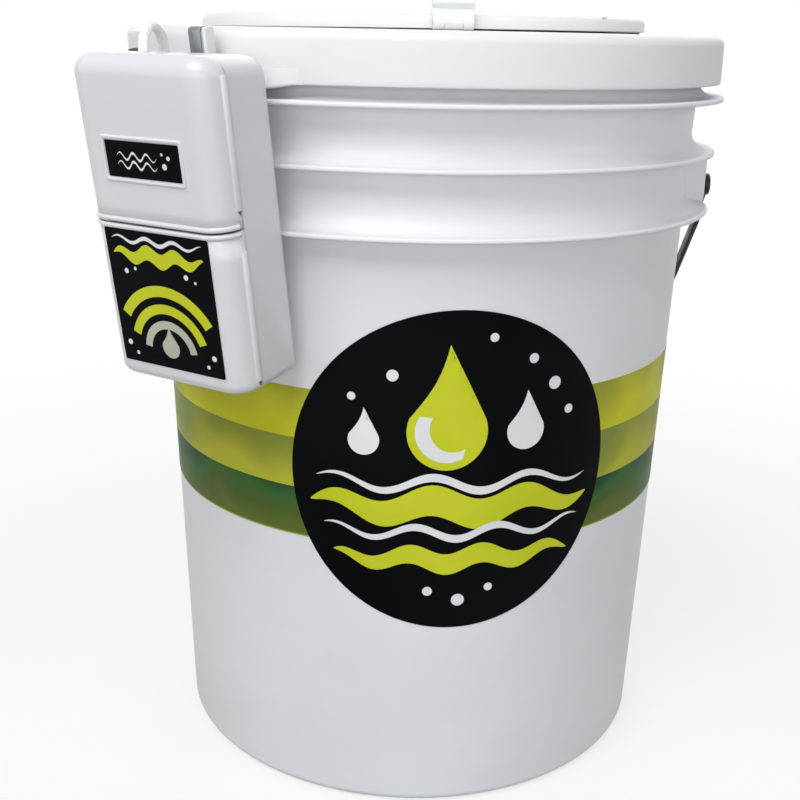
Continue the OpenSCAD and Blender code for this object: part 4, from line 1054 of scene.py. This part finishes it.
def pump_case():
    """Rear case and front covers, then the covers' beads, then their ridges and the painted shade of their
    notches.
    """
    rear = case_part("pump_rear_case", "lid", "rear_case", [((0, COVER_D, 0), (0, -1, 0))])
    for (x, y), r in ((BUTTON_AT, BUTTON_R + 0.25), (OUTLET, LOOP_R + 0.15)):
        drill(rear, (x, y, CASE_H - 14), (x, y, CASE_H + 4), r, 56, AT_PUMP)
    front = ((0, COVER_D - 0.08, 0), (0, 1, 0))
    covers = (("motor_cover", "lid", -1, 5.4, 63.4),
              ("battery_cover", "battery_cover", 1, SEAM_Z + 8, CASE_H - TOP_R))
    for node, body, side, _, _ in covers:
        edge = (0, 0, SEAM_Z + side * SEAM_GAP / 2)
        case_part(f"pump_{node}", body, node, [front, (edge, (0, 0, -side))])
    for node, body, side, _, _ in covers:
        bead = outline_bead(SEAM_Z + side * (SEAM_GAP + BEAD_W) / 2, BEAD_W, BEAD_T + 0.1)
        finish_mesh(f"{node}_bead", bead, body, PUMP, node, AT_PUMP, sharp=50)
    for node, body, _, z0, z1 in covers:
        for word, hand in (("left", -1), ("right", 1)):
            ridge, notch_shade = side_ridge(hand, z0, z1), notch_shade_prism(hand, z0 - 0.1)
            finish_mesh(f"{node}_ridge_{word}", ridge, body, PUMP, node, AT_PUMP, sharp=50)
            # Each notch is a dark prism of painted shade, flush with the side
            finish_mesh(f"{node}_notch_{word}", notch_shade, body, SHADE, place=AT_PUMP)


def plate_corners(half, low, high, r):
    return [(-half, low, r), (half, low, r), (half, high, r), (-half, high, r)]


def pump_labels():
    """A black film with prints on it on each cover, the upper one in a raised frame."""
    def film(name, outline, body, node):
        printed(name, [[outline]], on_pump(0), LABEL, body, node, FILM_T, AT_PUMP, slice_w=30)

    def print_on(name, shapes, look, body):
        printed(name, shapes, on_pump(-FILM_T), look, body, place=AT_PUMP, slice_w=60)

    low = LABEL_Z
    plate = soften(plate_corners(LABEL_W / 2, low, low + LABEL_H, 0.8), 4)
    film("pump_label_film", plate, "lid", "pump_label")
    hub = low + 7
    lime = [band_arc(0, hub, 18.6, 23, 20, 160), band_arc(0, hub, 26.4, 31.4, 33, 147),
            wave(-26, 26, low + 51, 1.7, 16, 7)]
    silver = [band_arc(0, hub, 11.6, 15.4, 8, 172), drop(0, low + 10, 5, 9.6)]
    white = [wave(-26, 26, low + 57.6, 1.3, 16, 1.9)]
    dots = ((-25, 9, 1.3), (25, 9, 1.3), (-21, 4.4, 0.9), (21, 4.4, 0.9), (-20, 43, 1.2), (-14.5, 44.6, 0.8),
            (15, 44.2, 1.2), (20, 42.4, 0.7))
    white += [dot(u, low + v, r) for u, v, r in dots]
    print_on("pump_label_lime", lime, PRINT_LIME, "lid")
    print_on("pump_label_silver", silver, PRINT_SILVER, "lid")
    print_on("pump_label_white", white, PRINT_WHITE, "lid")

    body = "battery_cover"
    plate = soften(plate_corners(MARK_W / 2, MARK_Z, MARK_Z + MARK_H, 0.5), 3)
    film("small_label_film", plate, body, "small_label")
    mid = MARK_Z + MARK_H / 2
    marks = [wave(-14.5, 8, mid + 1.4, 1.5, 7.5, 1.1), wave(-14.5, 8, mid - 2.2, 1.5, 7.5, 1.1)]
    marks += [dot(12, mid - 1.6, 1.3), dot(14.6, mid + 2, 0.9), dot(11.2, mid + 3.4, 0.6)]
    print_on("small_label_white", marks, PRINT_WHITE, body)

    rings = []
    for grow, y in ((0.4, 0.4), (0.4, -0.5), (0.9, -0.8), (1.5, -0.8), (MARK_RIM, -0.35), (MARK_RIM, 0.4)):
        corners = plate_corners(MARK_W / 2 + grow, MARK_Z - grow, MARK_Z + MARK_H + grow, 1)
        rings.append([(x, y, z) for x, z in soften(corners, 4)])
    finish_mesh("small_label_frame", solid(loft, rings, True), body, PUMP, "battery_cover", AT_PUMP, sharp=30)


pump_case()
pump_labels()


# Hanger, air loop and button
def hanger():
    """Spring strip: up the case's back, over the lug and down behind it, with rounded bends."""
    t, half, bend = STRIP_T / 2, STRIP_W / 2, 1.6
    low, hook_end = 84, 141
    back = CASE_D + t
    hook = CASE_D + STRIP_T + LUG_T + 3 * HOOK_GAP + t
    turn_z = HOOK_Z - t - bend
    path = [(back, low)] + arc(back + bend, turn_z, bend, 180, 90, 8)
    path += arc(hook - bend, turn_z, bend, 90, 0, 8) + [(hook, hook_end)]
    section = soften([(o, w, 0.25) for o, w in ((-t, -half), (t, -half), (t, half), (-t, half))], 3)
    rings = []
    for i, (y, z) in enumerate(path):
        along = heading(path, i)
        rings.append([(STRIP_X + w, y - along.y * o, z + along.x * o) for o, w in section])
    finish_mesh("hanger_spring", solid(loft, rings), "lid", STEEL, "hanger_strip", AT_PUMP, sharp=50)


def air_loop():
    """The air line stands up out of the case, turns over and comes down on the lid's port."""
    run = Vector((PORT[0] - OUTLET[0], PORT[1] - OUTLET[1], 0))
    radius = run.length / 2
    away = run.normalized()
    across = Vector((-away.y, away.x, 0))
    up = Vector((0, 0, 1))
    foot = Vector((*OUTLET, 0))
    barb = BEND_Z - 5
    path = [(0, barb), (0, barb + 2), (0, BEND_Z - 2)]
    path += [(radius - radius * cos(a), BEND_Z + radius * sin(a))
             for a in (pi * k / 40 for k in range(41))]
    path += [(2 * radius, BEND_Z - 1.5), (2 * radius, PORT_Z)]

    def ring(i, r):
        along = heading(path, i)
        out = up * along.x - away * along.y
        centre = foot + away * path[i][0] + up * path[i][1]
        return [centre + out * r * cos(q) + across * r * sin(q) for q in full_turn(28)]

    count = len(path)
    rings = [ring(i, LOOP_R) for i in range(count)] + [ring(i, LOOP_BORE) for i in range(count - 1, -1, -1)]
    finish_mesh("air_loop", solid(loft, rings, True), "lid", HOSE, "airline_loop", AT_PUMP, sharp=50)

    # Tie on the loop's near side, with a short pointed tail
    turn = radians(66)
    spot = foot + up * BEND_Z + away * radius + (up * sin(turn) - away * cos(turn)) * radius
    along = away * sin(turn) + up * cos(turn)
    bm = solid(rod, spot - along * 0.8, spot + along * 0.8, LOOP_R + 0.22)
    tail = AT_PUMP.to_3x3().inverted() @ Vector((-1, -0.1, -0.12)).normalized()
    side = tail.cross(along).normalized()
    rings = []
    for reach, wide, thick in ((1, 1.3, 0.8), (LOOP_R + 0.8, 1.2, 0.75), (LOOP_R + 2.4, 0.9, 0.6),
                               (LOOP_R + 3.4, 0.35, 0.3)):
        centre = spot + tail * reach
        rings.append([centre + along * (wide * cos(q)) + side * (thick * sin(q)) for q in full_turn(20)])
    loft(bm, rings)
    finish_mesh("air_loop_tie", bm, "lid", HOSE, place=AT_PUMP, sharp=40)


def button():
    """Domed cap with a flange under the case's top."""
    x, y = BUTTON_AT
    flange = BUTTON_R + 1
    corners = [(0, -4, 0), (flange, -4, 0.2), (flange, -2.6, 0.2), (BUTTON_R, -2.6, 0.2),
               (BUTTON_R, 0.2, 0.5), (BUTTON_R - 0.9, 0.9, 0.6), (0, 1.15, 0)]
    finish_mesh("rubber_button", lathe(soften(corners), 72), "power_button", RUBBER, "power_button",
                AT_PUMP @ Matrix.Translation((x, y, top_at(y))))


hanger()
air_loop()
button()

# Nodes of the model that stay as they are, with their finishes
FINISHES = {
    FOAM: "foam_liner foam_base lid_foam hatch_foam",
    GREY_RUBBER: "rim_gasket motor_mount diaphragm",
    RUBBER: "hatch_gasket",
    LID: "hatch_liner",
    PIN: "hinge_pin latch_pin case_screws hanger_rivets battery_springs battery_plates",
    STONE: "air_stone",
    BLACK: "outlet_fitting push_switch cam_yoke",
    CELL: "battery_left battery_right",
    CAN: "motor_can",
    MAGNET: "motor_magnets",
    WINDING: "motor_rotor",
    PUMP: "pump_head",
    HOSE: "inner_hose",
}
for look, nodes in FINISHES.items():
    for name in nodes.split():
        frame["nodes"][name].data.materials[0] = look


# Floor, backdrop and light
def seen_ray(tree):
    """1 on a ray that shows the background: seen straight, in a gloss or through something clear."""
    path = put(tree, "LightPath").outputs
    seen = maths(tree, "MAXIMUM", path["Is Camera Ray"], path["Is Glossy Ray"])
    return maths(tree, "MAXIMUM", seen, path["Is Transmission Ray"])


def floor():
    """Pale floor that turns to plain white away from the object, and keeps its shadow."""
    size, drop_z = 9, -0.0003
    mesh = bpy.data.meshes.new("floor")
    corners = [(-size, -size, 0), (size, -size, 0), (size, size, 0), (-size, size, 0)]
    mesh.from_pydata(corners, [], [(0, 1, 2, 3)])
    made = add_object("floor", mesh)
    made.location.z = drop_z
    look = bpy.data.materials.new("floor")
    look.use_nodes = True
    tree = look.node_tree
    tree.nodes.clear()
    seen = seen_ray(tree)
    place = put(tree, "TexCoord").outputs["Object"]
    far = put(tree, "VectorMath", {0: place}, operation="LENGTH").outputs["Value"]
    share = maths(tree, "MULTIPLY", seen, remap(tree, far, 0.25, 0.8, 0.7, 1))
    tone = mix(tree, seen, grey(0.3), grey(0.92))
    matte = put(tree, "BsdfDiffuse", {"Color": tone}).outputs[0]
    white = put(tree, "Emission", {"Color": grey(1), "Strength": 1}).outputs[0]
    both = put(tree, "MixShader", {0: share, 1: matte, 2: white}).outputs[0]
    put(tree, "OutputMaterial", {"Surface": both})
    mesh.materials.append(look)


def world():
    made = bpy.data.worlds.new("studio")
    bpy.context.scene.world = made
    made.use_nodes = True
    tree = made.node_tree
    tree.nodes.clear()
    light = put(tree, "Background", {"Color": srgb(240, 243, 248), "Strength": 0.21}).outputs[0]
    white = put(tree, "Background", {"Color": grey(1), "Strength": 1}).outputs[0]
    both = put(tree, "MixShader", {0: seen_ray(tree), 1: light, 2: white}).outputs[0]
    put(tree, "OutputWorld", {"Surface": both})


def lamp(name, place, aim, size, power):
    data = bpy.data.lights.new(name, "AREA")
    data.shape = "RECTANGLE"
    data.size, data.size_y = size
    data.energy = power
    made = add_object(name, data)
    made.location = place
    made.rotation_euler = (Vector(aim) - Vector(place)).to_track_quat("-Z", "Y").to_euler()


floor()
world()
lamp("key", (-0.4, -0.9, 1.45), (0, 0, 0.25), (1.1, 0.9), 16)
lamp("front", (0.1, -2.0, 0.42), (0, 0, 0.16), (2.2, 0.7), 12)
lamp("right", (1.5, -0.8, 0.7), (0, 0, 0.2), (0.9, 0.9), 4)
lamp("left", (-1.4, -1.0, 0.4), (0, 0, 0.1), (0.9, 0.6), 2.5)
lamp("back", (0.3, 1.3, 1.3), (0, 0, 0.3), (1.6, 1.0), 8)
lamp("rear", (-0.2, 2.0, 0.5), (0, 0, 0.16), (1.8, 0.7), 9)

bpy.context.scene.view_settings.view_transform = "Standard"
